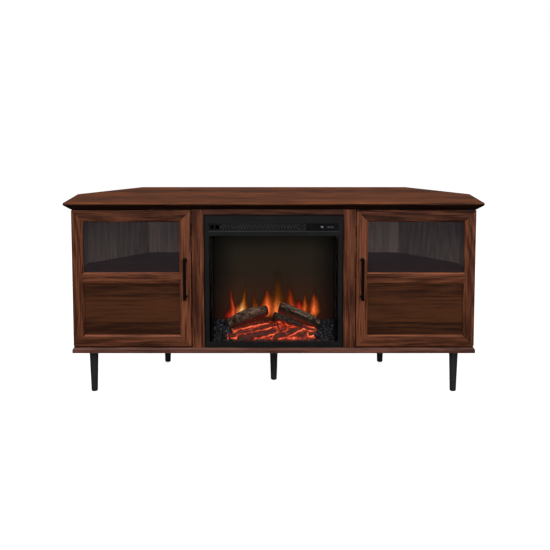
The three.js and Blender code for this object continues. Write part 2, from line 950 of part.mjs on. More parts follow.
// The folded sheet case: open in front and slotted behind, with the heater's floor,
// the rotor's bearing ear and the cord gland.
function insertCase() {
  const back = caseY + caseDepth;
  const top = caseBottom + caseHeight;
  const inside = caseHalf - sheet;
  const shell = cut(
    box(-caseHalf, caseHalf, caseY, back, caseBottom, top),
    box(-inside, inside, caseY - overrun, back - sheet, caseBottom + sheet, top - sheet),
  );
  const floor = box(
    -inside - sheet / 2,
    inside + sheet / 2,
    caseY + sheet,
    back - sheet / 2,
    heaterZ,
    heaterZ + sheet,
  );
  const earX = inside - earInset;
  const ear = box(
    earX,
    earX + sheet,
    rotorY - earWidth / 2,
    rotorY + earWidth / 2,
    caseBottom + sheet / 2,
    rotorZ + earWidth / 2,
  );
  const gland = bar("y", glandRadius, sheet + glandReach, 20)
    .translate(glandX, back - sheet, caseBottom + glandHeight);
  const slots = [];
  for (let row = 0; row < caseSlotRows; row++) {
    for (let column = 0; column < caseSlotColumns; column++) {
      const x = (column - (caseSlotColumns - 1) / 2) * caseSlotColumnPitch;
      const z = caseBottom + caseHeight / 2 + row * caseSlotPitch;
      const half = caseSlotWidth / 2;
      slots.push(box(x - half, x + half, back - overrun, back + overrun, z, z + caseSlotHeight));
    }
  }
  const shaftHole = bar("x", rotorShaftRadius + running, sheet + 2 * overrun, 12)
    .translate(earX - overrun, rotorY, rotorZ);
  const glandHole = bar("y", glandRadius - glandWall, sheet + glandReach + 2 * overrun, 20)
    .translate(glandX, back - sheet - overrun, caseBottom + glandHeight);
  return cut(joined(shell, floor, ear, gland), shaftHole, glandHole, ...slots);
}

function blowerWheel() {
  const start = blowerStart;
  const pieces = [0, blowerLength / 2 - blowerDisc / 2, blowerLength - blowerDisc].map((x) =>
    bar("x", blowerRadius, blowerDisc, 24).translate(start + x, 0, 0),
  );
  for (let i = 0; i < bladeCount; i++) {
    const outer = blowerRadius - bladeThickness;
    const inner = outer - bladeChord;
    const lean = bladeChord / 3;
    const outline = [
      [inner, -lean],
      [outer, 0],
      [outer, bladeThickness],
      [inner, bladeThickness - lean],
    ];
    const blade = sidePlate(outline, start + blowerDisc / 2, start + blowerLength - blowerDisc / 2);
    pieces.push(blade.rotateX((2 * Math.PI * i) / bladeCount));
  }
  for (const end of [start - blowerShaftReach, start + blowerLength - blowerDisc / 2]) {
    const shaft = bar("x", blowerShaftRadius, blowerShaftReach + blowerDisc / 2, 12);
    pieces.push(shaft.translate(end, 0, 0));
  }
  return joined(...pieces).translate(0, blowerY, blowerZ);
}

// The blower's scroll: a curled sheet open towards the outlet, held by an end plate at each side.
function blowerHousing() {
  const inner = blowerRadius + scrollGap;
  const outer = inner + scrollWall;
  const from = Math.PI / 4;
  const to = (5 * Math.PI) / 4 + Math.PI / 3;
  const outline = [
    ...arcPoints(0, 0, outer, from - Math.PI / 2, to - Math.PI / 2, scrollSteps),
    ...arcPoints(0, 0, inner, to - Math.PI / 2, from - Math.PI / 2, scrollSteps),
  ];
  const start = blowerStart - scrollGap;
  const end = start + blowerLength + 2 * scrollGap;
  const scroll = sidePlate(outline, start - scrollWall / 2, end + scrollWall / 2);
  const footDrop = blowerHeight - sheet - seam;
  const plate = (x) => box(x, x + scrollWall, -outer, outer, -footDrop, outer);
  const holes = bar("x", blowerShaftRadius + running, end - start + 4 * overrun, 12);
  const body = joined(scroll, plate(start - scrollWall), plate(end));
  return cut(body, holes.translate(start - 2 * overrun, 0, 0)).translate(0, blowerY, blowerZ);
}

function flameScreen() {
  const half = caseHalf - sheet - seam;
  const low = caseBottom + sheet + seam;
  return box(-half, half, screenY, screenY + screenThickness, low, heaterZ - seam);
}

// A shaft with mirrored flags turned a little from one to the next, which throws the moving light.
function flameRotor() {
  const motorEnd = -caseHalf + sheet + seam + motorLength;
  const left = motorEnd - motorBore + running;
  const right = caseHalf - sheet - earInset + sheet + seam + earInset / 2;
  const pieces = [bar("x", rotorShaftRadius, right - left, 12).translate(left, 0, 0)];
  const span = (rotorFlagCount - 1) * rotorFlagPitch;
  const flagTurnShare = 0.381966;
  for (let i = 0; i < rotorFlagCount; i++) {
    const flagStart = i * rotorFlagPitch - span / 2 - rotorFlagWidth / 2;
    const half = rotorFlagThickness / 2;
    const flag = box(flagStart, flagStart + rotorFlagWidth, -half, half, -rotorRadius, rotorRadius);
    pieces.push(flag.rotateX(2 * Math.PI * flagTurnShare * i));
  }
  return joined(...pieces).translate(0, rotorY, rotorZ);
}

function rotorMotor() {
  const wall = -caseHalf + sheet + seam;
  const can = bar("x", motorRadius, motorLength, 20).translate(wall, rotorY, rotorZ);
  const bore = bar("x", rotorShaftRadius + running, motorBore + overrun, 12);
  const boreStart = wall + motorLength - motorBore;
  return cut(can, bore.translate(boreStart, rotorY, rotorZ));
}

// A log from one point to another, its round section wavering like bark along and around it.
function log(from, to, radius, wave, rings = 10, sides = 12) {
  const start = new THREE.Vector3(...from);
  const axis = new THREE.Vector3(...to).sub(start);
  const along = axis.clone().normalize();
  const across = new THREE.Vector3(0, 1, 0).cross(along).normalize();
  const upright = along.clone().cross(across);
  const barkShare = 0.09;
  const taperShare = 0.14;
  const surface = Array.from({ length: rings }, (_, k) => {
    const share = k / (rings - 1);
    const centre = start.clone().addScaledVector(axis, share);
    return Array.from({ length: sides }, (_, i) => {
      const angle = (2 * Math.PI * i) / sides;
      const bark = Math.sin(3 * angle + wave + 5 * share) + Math.cos(5 * angle - wave * share * 4);
      const r = radius * (1 + barkShare * bark - taperShare * share);
      const point = centre.clone();
      point.addScaledVector(across, r * Math.cos(angle));
      point.addScaledVector(upright, r * Math.sin(angle));
      return point.toArray();
    });
  });
  return skin(surface, circle(0, 0, radius, sides));
}

// The moulded ember bed: a crowned tray with glowing branches, the middle log and coals at both ends.
function emberBed() {
  const half = bedHalf;
  const depth = bedBackY - bedFrontY;
  const crownAt = (share) => trayFloor + bedBase + bedCrown * Math.sin((Math.PI / 2) * share);
  const crown = Array.from({ length: bedSteps + 1 }, (_, i) => {
    const share = i / bedSteps;
    return [bedFrontY + depth * share, crownAt(share)];
  });
  const outline = [[bedFrontY, trayFloor], ...crown, [bedBackY, trayFloor]];
  const pieces = [sidePlate(outline, -half, half)];
  // Shares of the branches' reach, the bed's depth and a branch's radius
  const branchShares = [
    [-1, 0.02, 0.2, 0.6],
    [-0.72, -0.05, 0.4, 0.9],
    [0.08, 1, 0.22, 0.6],
    [0.02, 0.8, 0.45, 0.3],
    [-0.2, 0.5, 0.62, -0.4],
  ];
  branchShares.forEach(([startShare, endShare, depthShare, riseShare], i) => {
    const y = bedFrontY + depth * depthShare;
    const z = crownAt(depthShare) + emberRadius / 3;
    const from = [startShare * emberReach, y, z];
    const to = [endShare * emberReach, y + emberRadius / 2, z + riseShare * emberRadius];
    pieces.push(log(from, to, emberRadius, i, 6, 8));
  });
  const middleZ = trayFloor + middleLogHeight;
  const middleTo = [middleLogX + middleLogRun, middleLogY + middleLogRadius, middleZ - middleLogDrop];
  pieces.push(log([middleLogX, middleLogY, middleZ], middleTo, middleLogRadius, 2, 8, 10));
  const columns = Math.floor(coalSpread / coalPitch);
  const rows = Math.floor(depth / coalPitch);
  for (let i = 0; i < 2 * columns * rows; i++) {
    const end = i % 2 ? 1 : -1;
    const column = Math.floor(i / 2) % columns;
    const row = Math.floor(i / 2 / columns);
    const share = row / (rows - 1);
    const base = Math.max(crownAt(share), trayFloor + coalRadius);
    const layers = 1 + Math.round((share * coalHeapRise) / coalPitch);
    for (let layer = 0; layer < layers; layer++) {
      const coal = new THREE.IcosahedronGeometry(coalRadius, 0).rotateX(column + layer).rotateZ(row);
      const x = end * (half - coalRadius - column * coalPitch);
      const y = bedFrontY + coalRadius + share * (depth - 2 * coalRadius);
      pieces.push(coal.translate(x, y, base + layer * coalPitch));
    }
  }
  return cut(joined(...pieces), leftLog(2 * seam), rightLog(2 * seam));
}

// Each big log, or with a margin the seat that the ember bed is hollowed to for it.
function leftLog(margin = 0) {
  const z = trayFloor + leftLogHeight;
  const to = [leftLogTip, logY, z + leftLogRise];
  return log([leftLogInset - bedHalf, logY, z], to, leftLogRadius + margin, 0);
}

function rightLog(margin = 0) {
  const z = trayFloor + rightLogHeight;
  const to = [bedHalf - rightLogInset, logY, z - rightLogDrop];
  return log([rightLogTip, logY, z], to, rightLogRadius + margin, 1);
}

function addInsert(parent) {
  addMesh(parent, "insert_case", insertCase(), blackMetal);
  addMesh(parent, "insert_bezel", bezel(), blackPlastic);
  addMesh(parent, "insert_glass", fireGlass(), doorGlass);
  addMesh(parent, "outlet_grille", outletGrille(), blackMetal);
  addMesh(parent, "control_panel", controlPanel(), blackPlastic);
  for (const [name, [x, z]] of Object.entries(buttonPlaces())) {
    addMesh(parent, name, pushButton(), buttonPlastic).position.set(x, 0, z);
  }
  addMesh(parent, "blower_housing", blowerHousing(), steel);
  addMesh(parent, "blower_wheel", blowerWheel(), steel);
  addMesh(parent, "flame_screen", flameScreen(), screenGlass);
  addMesh(parent, "flame_rotor", flameRotor(), steel);
  addMesh(parent, "rotor_motor", rotorMotor(), blackPlastic);
  addMesh(parent, "ember_bed", emberBed(), ember);
  addMesh(parent, "left_log", leftLog(), charredWood);
  addMesh(parent, "right_log", rightLog(), charredWood);
}

// The whole stand

function addHand(parent, hand) {
  const add = (name, geometry, material) => addMesh(parent, hand + "_" + name, geometry, material);
  add("side_panel", sideBoard(), wood);
  add("slanted_panel", slantedBoard(), wood);
  add("divider_panel", dividerBoard(), wood);
  add("front_stile", frontStile(), wood);
  add("shelf", shelf(), wood);
  add("upper_board_leaf", boardLeaf(1), steel);
  add("lower_board_leaf", boardLeaf(-1), steel);
  add("door_catch", doorCatch(), blackPlastic);
  addDoor(parent, hand);
}

const group = new THREE.Group();
const stand = new THREE.Group();
stand.position.y = -(topDepth + handleFront) / 2;
group.add(stand);

addMesh(stand, "top_panel", topBoard(), wood);
addMesh(stand, "base_panel", baseBoard(), wood);
addMesh(stand, "back_panel", backBoard(), wood);
addMesh(stand, "bay_rail", bayRail(), wood);
for (const [name, [x, y]] of Object.entries(legPlaces())) {
  addMesh(stand, name, leg(), blackMetal).position.set(x, y, 0);
}

const rightHand = new THREE.Group();
const leftHand = new THREE.Group();
leftHand.scale.x = -1;
stand.add(rightHand, leftHand);
addHand(rightHand, "right");
addHand(leftHand, "left");
addInsert(stand);

export default group;
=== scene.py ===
import math

import bmesh
import bpy
import numpy as np
from mathutils import Matrix, Vector, noise


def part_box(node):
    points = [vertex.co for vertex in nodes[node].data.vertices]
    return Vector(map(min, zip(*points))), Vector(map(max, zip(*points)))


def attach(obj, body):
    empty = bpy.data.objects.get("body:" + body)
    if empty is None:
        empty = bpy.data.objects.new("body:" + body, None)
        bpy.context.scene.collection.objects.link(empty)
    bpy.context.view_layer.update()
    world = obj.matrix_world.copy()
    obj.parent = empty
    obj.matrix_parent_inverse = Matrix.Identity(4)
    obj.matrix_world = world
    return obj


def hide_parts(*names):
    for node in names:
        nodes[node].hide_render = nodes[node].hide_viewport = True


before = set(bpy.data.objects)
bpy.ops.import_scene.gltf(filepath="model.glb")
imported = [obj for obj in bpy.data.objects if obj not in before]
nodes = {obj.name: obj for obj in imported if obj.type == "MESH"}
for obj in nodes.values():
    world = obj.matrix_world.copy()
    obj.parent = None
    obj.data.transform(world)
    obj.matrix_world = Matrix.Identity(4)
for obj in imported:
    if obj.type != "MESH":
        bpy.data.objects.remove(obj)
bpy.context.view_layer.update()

MM = 0.001
UP = (0.0, 0.0, 1.0)
BACKWARDS = (0.0, 1.0, 0.0)
HANDS = {"right": 1, "left": -1}
PLAN_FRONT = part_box("top_panel")[0].y  # the top board's front edge, where plan depths start
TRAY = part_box("ember_bed")[0].z  # the sheet case's floor, which the fire stands on
SCREEN_LOW, SCREEN_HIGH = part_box("flame_screen")


def back(depth):
    """A y in the row frame, from a depth behind the top board's front edge."""
    return PLAN_FRONT + depth


def in_scene(name, data):
    """A new object in the scene."""
    made = bpy.data.objects.new(name, data)
    bpy.context.scene.collection.objects.link(made)
    return made


# Camera: the photograph's eye, a little above the stand and almost square to its front
IMAGE_PIXELS = 550
SENSOR = 36 * MM
FOCAL_PIXELS = 848.3
EYE_X = 4.3 * MM
EYE_DISTANCE = 2731.7 * MM  # in front of the top board's front edge
EYE_HEIGHT = 1050.4 * MM
EYE_PITCH = math.radians(5.044)  # below level
EYE_SHIFT = -0.22


def make_camera():
    data = bpy.data.cameras.new("camera")
    data.sensor_width = SENSOR / MM
    data.lens = FOCAL_PIXELS / IMAGE_PIXELS * data.sensor_width
    data.shift_y = EYE_SHIFT
    camera = in_scene("camera", data)
    camera.location = (EYE_X, back(-EYE_DISTANCE), EYE_HEIGHT)
    camera.rotation_euler = (math.pi / 2 - EYE_PITCH, 0, 0)
    bpy.context.scene.camera = camera


# Shader trees

# Short names for the Principled shader's sockets
SOCKETS = {
    "base": "Base Color",
    "roughness": "Roughness",
    "metallic": "Metallic",
    "specular": "Specular IOR Level",
    "alpha": "Alpha",
    "glow": "Emission Color",
    "strength": "Emission Strength",
}


def connect(made, inputs):
    """Fills a node's inputs, each with a value or from another node's output. A colour is three values."""
    for name, value in inputs.items():
        socket = made.inputs[name]
        if isinstance(value, bpy.types.NodeSocket):
            made.id_data.links.new(value, socket)
        else:
            socket.default_value = (*value, 1.0) if socket.type == "RGBA" else value


def node(tree, kind, inputs=None, **settings):
    """A shader node with its settings and inputs."""
    made = tree.nodes.new("ShaderNode" + kind)
    for name, value in settings.items():
        setattr(made, name, value)
    connect(made, inputs or {})
    return made


def new_material(name):
    """A material with one Principled shader, its tree and that shader."""
    material = bpy.data.materials.new(name)
    material.use_nodes = True
    tree = material.node_tree
    tree.nodes.clear()
    shader = node(tree, "BsdfPrincipled")
    node(tree, "OutputMaterial", {"Surface": shader.outputs["BSDF"]})
    return material, tree, shader


def surface(shader, **looks):
    """Sets a Principled shader's inputs by their short names."""
    connect(shader, {SOCKETS[name]: value for name, value in looks.items()})


def reopened(material):
    """A finished material's tree and shader, and the socket that its base colour comes from."""
    tree = material.node_tree
    shader = next(n for n in tree.nodes if n.type == "BSDF_PRINCIPLED")
    return tree, shader, shader.inputs["Base Color"].links[0].from_socket


def new_group(name, inputs, outputs):
    """A node group from its sockets' names and kinds, with what comes in and the node that sends it out."""
    group = bpy.data.node_groups.new(name, "ShaderNodeTree")
    for in_out, sockets in (("INPUT", inputs), ("OUTPUT", outputs)):
        for socket, kind in sockets.items():
            group.interface.new_socket(socket, in_out=in_out, socket_type="NodeSocket" + kind)
    return group, group.nodes.new("NodeGroupInput").outputs, group.nodes.new("NodeGroupOutput")


def made_from(kind, inputs, **settings):
    """A shader node in the tree of the first of its inputs that comes from another node."""
    tree = next(value.id_data for value in inputs.values() if isinstance(value, bpy.types.NodeSocket))
    return node(tree, kind, inputs, **settings).outputs


def maths(operation, a, b=0.0, c=0.0):
    return made_from("Math", {0: a, 1: b, 2: c}, operation=operation)[0]


def times(a, b):
    return maths("MULTIPLY", a, b)


def vectors(operation, a, b):
    return made_from("VectorMath", {0: a, 1: b}, operation=operation)[0]


def scaled(vector, level):
    return made_from("VectorMath", {0: vector, "Scale": level}, operation="SCALE")[0]


def ranged(value, low, high, to_low=0.0, to_high=1.0):
    """A value carried from one range to another, held at both ends."""
    inputs = {"Value": value, "From Min": low, "From Max": high, "To Min": to_low, "To Max": to_high}
    return made_from("MapRange", inputs)["Result"]


def blended(share, a, b):
    """One colour over another by a share."""
    return made_from("Mix", {"Factor": share, 6: a, 7: b}, data_type="RGBA")[2]


def joined(**parts):
    """A vector from its parts."""
    return made_from("CombineXYZ", parts)[0]


def parts_of(vector):
    """A vector's parts, by their axes."""
    return made_from("SeparateXYZ", {"Vector": vector})


def toned(tint, level):
    """A colour made lighter or darker."""
    return tuple(min(1.0, level * channel) for channel in tint)


def object_place(tree, axis=None):
    """A point's place on its object, or that along one axis."""
    place = node(tree, "TexCoord").outputs["Object"]
    return parts_of(place)[axis] if axis else place


def facing(tree, direction):
    """How squarely a face looks along a direction, from -1 to 1."""
    inputs = {0: node(tree, "TexCoord").outputs["Normal"], 1: direction}
    return made_from("VectorMath", inputs, operation="DOT_PRODUCT")["Value"]


def told(tree, name):
    """What a mesh's attribute says at a point."""
    return node(tree, "Attribute", attribute_name=name).outputs["Fac"]


def noise_at(place, scales, seed=0.0, detail=2.0, roughness=0.5):
    """Perlin noise over a place that is scaled by one amount, or by its own amount each way."""
    scales = scales if isinstance(scales, tuple) else (scales, scales, scales)
    inputs = {"Vector": place, "Scale": scales, "Location": (seed, seed, seed)}
    mapped = made_from("Mapping", inputs)["Vector"]
    inputs = {"Vector": mapped, "Scale": 1.0, "Detail": detail, "Roughness": roughness}
    return made_from("TexNoise", inputs)["Fac"]


def bumped(shader, height, strength, distance):
    inputs = {"Height": height, "Strength": strength, "Distance": distance}
    connect(shader, {"Normal": made_from("Bump", inputs)["Normal"]})


def ramp(share, stops):
    """A colour ramp from (position, colour) stops."""
    made = node(share.id_data, "ValToRGB", {"Fac": share})
    elements = made.color_ramp.elements
    while len(elements) < len(stops):
        elements.new(1.0)
    for element, (position, value) in zip(elements, stops):
        element.position = position
        element.color = (*value, 1.0)
    return made.outputs["Color"]


# Walnut, with its grain along one of the board's own directions

WALNUT = ((0.046, 0.0125, 0.0056), (0.258, 0.0810, 0.0355))
WALNUT_TOP = ((0.040, 0.0086, 0.0012), (0.285, 0.0690, 0.0110))
# Darker walnut for the doors' top and bottom rails: on the top rails it is painted shade from the top
# board's overhang
WALNUT_RAIL = ((0.030, 0.0080, 0.0036), (0.185, 0.0570, 0.0250))
# The bay rail under the top: walnut darkened as a painted shadow of the top board's overhang
WALNUT_BAY_SHADOWED = ((0.019, 0.0053, 0.0026), (0.105, 0.0335, 0.0160))
WALNUT_DARK = ((0.027, 0.0074, 0.0026), (0.088, 0.0270, 0.0090))
# The cupboards' inner faces: a pale copy of the walnut, painted light standing in for the light that reaches
# inside
WALNUT_INNER_LIT = ((0.215, 0.1660, 0.1400), (0.405, 0.3180, 0.2670))
# The back board's inside: a still paler copy, painted light that makes it lighter than the slanted boards
WALNUT_BACK_LIT = ((0.450, 0.3480, 0.2950), (0.700, 0.5550, 0.4700))
# Painted shade for the top's underside and the slope under its nose
WALNUT_SHADED = ((0.003, 0.0010, 0.0004), (0.014, 0.0046, 0.0017))
WALNUT_BASE = ((0.062, 0.0220, 0.0150), (0.220, 0.0840, 0.0560))
PLANK_WIDTH = 83 * MM
PANEL_PLANK_START = 164 * MM  # a seam's height
PLANK_SHIFT = (9.0, 0.7, 0.3)  # how far each plank's stretch of figure may lie from the next one's
VENEER_SWAY = 12 * MM
FACE_SIDEWAYS = (0.15, 0.4)  # from side on to slanting, as shares of square on
FACE_SQUARE = (0.96, 0.995)  # from slanting to square on
TOWARDS = -0.3  # how far a face may turn from a direction and still count as facing it

# The veneer's noises: their scales along, across and into the grain
SWAY_SCALES = (2.2, 11.0, 11.0)
FIGURE_SCALES = (0.95, 8.5, 3.0)
FIBRE_SCALES = (8.0, 230.0, 230.0)
STREAK_SCALES = (3.4, 95.0, 60.0)
BAND_SCALES = (0.7, 16.0, 6.0)
PORE_SCALES = (26.0, 720.0, 720.0)

# Which object axes run along, across and into the grain
GRAIN_X = ("X", "Z", "Y")
GRAIN_X_FLAT = ("X", "Y", "Z")
GRAIN_Z = ("Z", "X", "Y")
GRAIN_Z_SIDE = ("Z", "Y", "X")


def walnut_group():
    """The walnut veneer's figure, for a place that runs x along the grain, y across it and z into it."""
    inputs = {"Place": "Vector", "Plank": "Float", "Contrast": "Float", "Dark": "Color", "Light": "Color"}
    outputs = {"Colour": "Color", "Roughness": "Float", "Height": "Float"}
    group, source, target = new_group("walnut_figure", inputs, outputs)
    plank, dark = source["Plank"], source["Dark"]

    # Each plank of the veneer has its own tone and its own stretch of figure, and every other one is lighter
    lot = made_from("TexWhiteNoise", {"W": plank}, noise_dimensions="1D")
    other = maths("SUBTRACT", maths("PINGPONG", plank, 1.0), 0.5)
    own_tone = maths("MULTIPLY_ADD", lot["Value"], 0.4, times(other, 0.6))
    own = vectors("ADD", source["Place"], vectors("MULTIPLY", lot["Color"], PLANK_SHIFT))

    # Cathedral figure: contour lines of a field that is stretched along the grain
    sway = times(noise_at(own, SWAY_SCALES, 3.1), VENEER_SWAY)
    swayed = vectors("ADD", own, joined(Y=sway))
    field = noise_at(swayed, FIGURE_SCALES, 7.7, detail=1.2, roughness=0.4)
    rings = maths("PINGPONG", times(field, 15.0), 0.5)
    figure = ranged(rings, 0.05, 0.5)

    # Fibres, streaks, broad bands of colour, and short open pores
    fibres = noise_at(swayed, FIBRE_SCALES, 1.3, detail=4.0, roughness=0.68)
    streaks = noise_at(swayed, STREAK_SCALES, 9.4, detail=3.0, roughness=0.6)
    bands = noise_at(own, BAND_SCALES, 5.9)
    pores = ranged(noise_at(swayed, PORE_SCALES, 2.2, detail=1.0), 0.60, 0.70)
    tone = maths("MULTIPLY_ADD", figure, 0.13, times(fibres, 0.88))
    for part, weight in ((streaks, 0.30), (bands, 0.12), (own_tone, source["Contrast"])):
        tone = maths("MULTIPLY_ADD", part, weight, tone)
    veneer = blended(ranged(tone, 0.61, 0.89), dark, source["Light"])
    pored = blended(times(pores, 0.45), veneer, dark)
    height = maths("SUBTRACT", fibres, times(pores, 0.6))
    satin = ranged(fibres, 0.3, 0.7, 0.40, 0.54)
    connect(target, {"Colour": pored, "Roughness": satin, "Height": height})
    return group


WALNUT_FIGURE = walnut_group()


def grain_place(tree, order, seed):
    """The object place in the order along, across, into the grain, moved on by a seed."""
    parts = parts_of(object_place(tree))
    turned = joined(**{new: parts[axis] for new, axis in zip("XYZ", order)})
    return vectors("ADD", turned, (1.7 * seed, 0.37 * seed, 0.53 * seed))


def figure_of(tree, order, seed, tones, planks=None, contrast=0.15):
    """The veneer's figure on a board, with its planks' start across the grain if it has any."""
    plank = seed
    if planks is not None:
        across = maths("SUBTRACT", object_place(tree, order[1]), planks)
        plank = maths("FLOOR", maths("DIVIDE", across, PLANK_WIDTH))
    inputs = {"Place": grain_place(tree, order, seed), "Plank": plank, "Contrast": contrast}
    inputs |= {"Dark": tones[0], "Light": tones[1]}
    return node(tree, "Group", inputs, node_tree=WALNUT_FIGURE).outputs


def walnut(name, order, seed, tones=WALNUT, **planks):
    material, tree, shader = new_material(name)
    figure = figure_of(tree, order, seed, tones, **planks)
    surface(shader, base=figure["Colour"], roughness=figure["Roughness"], specular=0.25)
    bumped(shader, figure["Height"], 0.25, 0.15 * MM)
    return material


def light_and_shade_by_facing(material, axis, side_on, square_on, slanting=None, tint=(1.0, 1.0, 1.0)):
    """Paints light and shade on a board's faces by how squarely they look along an axis, with a tint on
    those that don't.
    """
    tree, shader, face = reopened(material)
    squareness = maths("ABSOLUTE", facing(tree, axis))
    level = ranged(squareness, *FACE_SIDEWAYS, side_on, slanting or square_on)
    level = ranged(squareness, *FACE_SQUARE, level, square_on)
    face = scaled(face, level)
    tinted = vectors("MULTIPLY", face, tint)
    surface(shader, base=blended(ranged(squareness, *FACE_SQUARE), tinted, face))
    return material


def two_faced(name, order, seed, outward, inner=WALNUT_INNER_LIT, **planks):
    """A board with walnut on the face towards a direction, and another veneer on its other faces, whose
    tones are painted light inside the cupboards and painted shade under the top.
    """
    material = walnut(name, order, seed, **planks)
    tree, shader, walnut_face = reopened(material)
    outer = maths("GREATER_THAN", facing(tree, outward), TOWARDS)
    inner_face = figure_of(tree, order, seed + 0.5, inner)["Colour"]
    surface(shader, base=blended(outer, inner_face, walnut_face))
    return material


def backing_board(name, seed):
    """The thin back: a dull pale veneer on the cupboards' side, which is painted light, and a matt dark
    brown paper on the wall side.
    """
    material = two_faced(name, GRAIN_Z, seed, BACKWARDS, WALNUT_BACK_LIT)
    tree, shader, veneer = reopened(material)
    outer = maths("GREATER_THAN", facing(tree, BACKWARDS), 0.5)
    fleck = ranged(noise_at(object_place(tree), 420.0, detail=3.0), 0.3, 0.7)
    paper = blended(fleck, (0.050, 0.027, 0.017), (0.085, 0.048, 0.030))
    satin = shader.inputs["Roughness"].links[0].from_socket
    matt = ranged(outer, 0.0, 1.0, satin, 0.85)
    surface(shader, base=blended(outer, veneer, paper), roughness=matt)
    return material


# Metals, plastics and glass


def coated(tree, shader, base, roughness, specular=0.5):
    """A powder coat or moulded skin: even colour with a fine orange-peel grain and slight rubbing."""
    at = object_place(tree)
    rub = noise_at(at, 22.0, 4.0, detail=4.0)
    coat = blended(ranged(rub, 0.35, 0.75), base, toned(base, 1.35))
    rough = ranged(rub, 0.3, 0.7, roughness - 0.05, roughness + 0.07)
    surface(shader, base=coat, roughness=rough, specular=specular)
    bumped(shader, noise_at(at, 900.0), 0.3, 0.05 * MM)


def brushed(tree, shader, base, roughness, along=(8.0, 900.0, 900.0)):
    """Sheet steel with fine drawn lines."""
    lines = noise_at(object_place(tree), along, detail=3.0)
    drawn = blended(ranged(lines, 0.35, 0.65), toned(base, 0.7), base)
    rough = ranged(lines, 0.3, 0.7, roughness - 0.07, roughness + 0.1)
    surface(shader, base=drawn, roughness=rough, metallic=1.0)
    bumped(shader, lines, 0.2, 0.03 * MM)


def pane(tree, shader, veil, cover, smear):
    """A glass pane as a thin coloured veil: the share that it covers, and a faint uneven film on it. On the
    door panes the veil's colour is partly the glass's tint and partly a painted reflection.
    """
    film = noise_at(object_place(tree), 9.0, detail=3.0)
    rough = ranged(film, 0.3, 0.7, 0.04, smear)
    alpha = ranged(film, 0.3, 0.7, cover - 0.01, cover + 0.01)
    tint = blended(film, veil, toned(veil, 0.8))
    surface(shader, base=tint, roughness=rough, alpha=alpha, specular=0.25)


# The fire's own materials

GLOW = (
    (0.0, (0.0, 0.0, 0.0)),
    (0.22, (0.10, 0.006, 0.002)),
    (0.48, (0.62, 0.045, 0.014)),
    (0.75, (1.0, 0.14, 0.04)),
    (1.0, (1.0, 0.46, 0.15)),
)


def bark(tree, shader, dark, light, strength):
    """Charred bark that follows the log by its own map: u runs along the log and v round it."""
    at = node(tree, "UVMap", uv_map="bark").outputs["UV"]
    ridges = noise_at(at, (60.0, 170.0, 1.0), detail=4.0, roughness=0.70)
    patches = noise_at(at, (18.0, 22.0, 1.0), 6.0, detail=3.0)
    share = ranged(maths("MULTIPLY_ADD", patches, 0.5, ridges), 0.67, 0.88)
    # Partly ash and partly painted light from above: the bark is lighter on its upper faces
    ashen_and_lit = blended(times(share, told(tree, "ash_and_top_light")), dark, light)
    lit = times(told(tree, "ember_heat"), ranged(ridges, 0.62, 0.36))
    surface(shader, base=ashen_and_lit, roughness=0.92, specular=0.15, glow=ramp(lit, GLOW), strength=strength)
    bumped(shader, ridges, 0.8, 1.5 * MM)


def embers(tree, shader):
    """Resin painted dark on the sticks' crowns and lit from below in the hollows between them."""
    at = object_place(tree)
    grain = noise_at(at, (90.0, 90.0, 260.0), detail=4.0, roughness=0.6)
    stops = (
        (0.0, (0.007, 0.004, 0.003)),
        (0.6, (0.036, 0.014, 0.009)),
        (1.0, (0.09, 0.038, 0.025)),
    )
    paint = ramp(ranged(grain, 0.3, 0.7), stops)
    flicker = ranged(noise_at(at, 60.0, 2.0, detail=3.0), 0.3, 0.62, 0.45, 1.15)
    lit = times(told(tree, "ember_heat"), flicker)
    surface(shader, base=paint, roughness=0.8, glow=ramp(lit, GLOW), strength=1.2)
    bumped(shader, grain, 0.7, 1.0 * MM)


def coal(tree, shader):
    """Crumbled black coal with painted blue-grey highlights in patches on its facets."""
    painted_highlights = noise_at(object_place(tree), 130.0, detail=4.0, roughness=0.7)
    share = ranged(painted_highlights, 0.53, 0.68)
    paint = blended(share, (0.002, 0.002, 0.003), (0.110, 0.122, 0.160))
    surface(shader, base=paint, roughness=0.55)
    bumped(shader, painted_highlights, 0.8, 1.0 * MM)


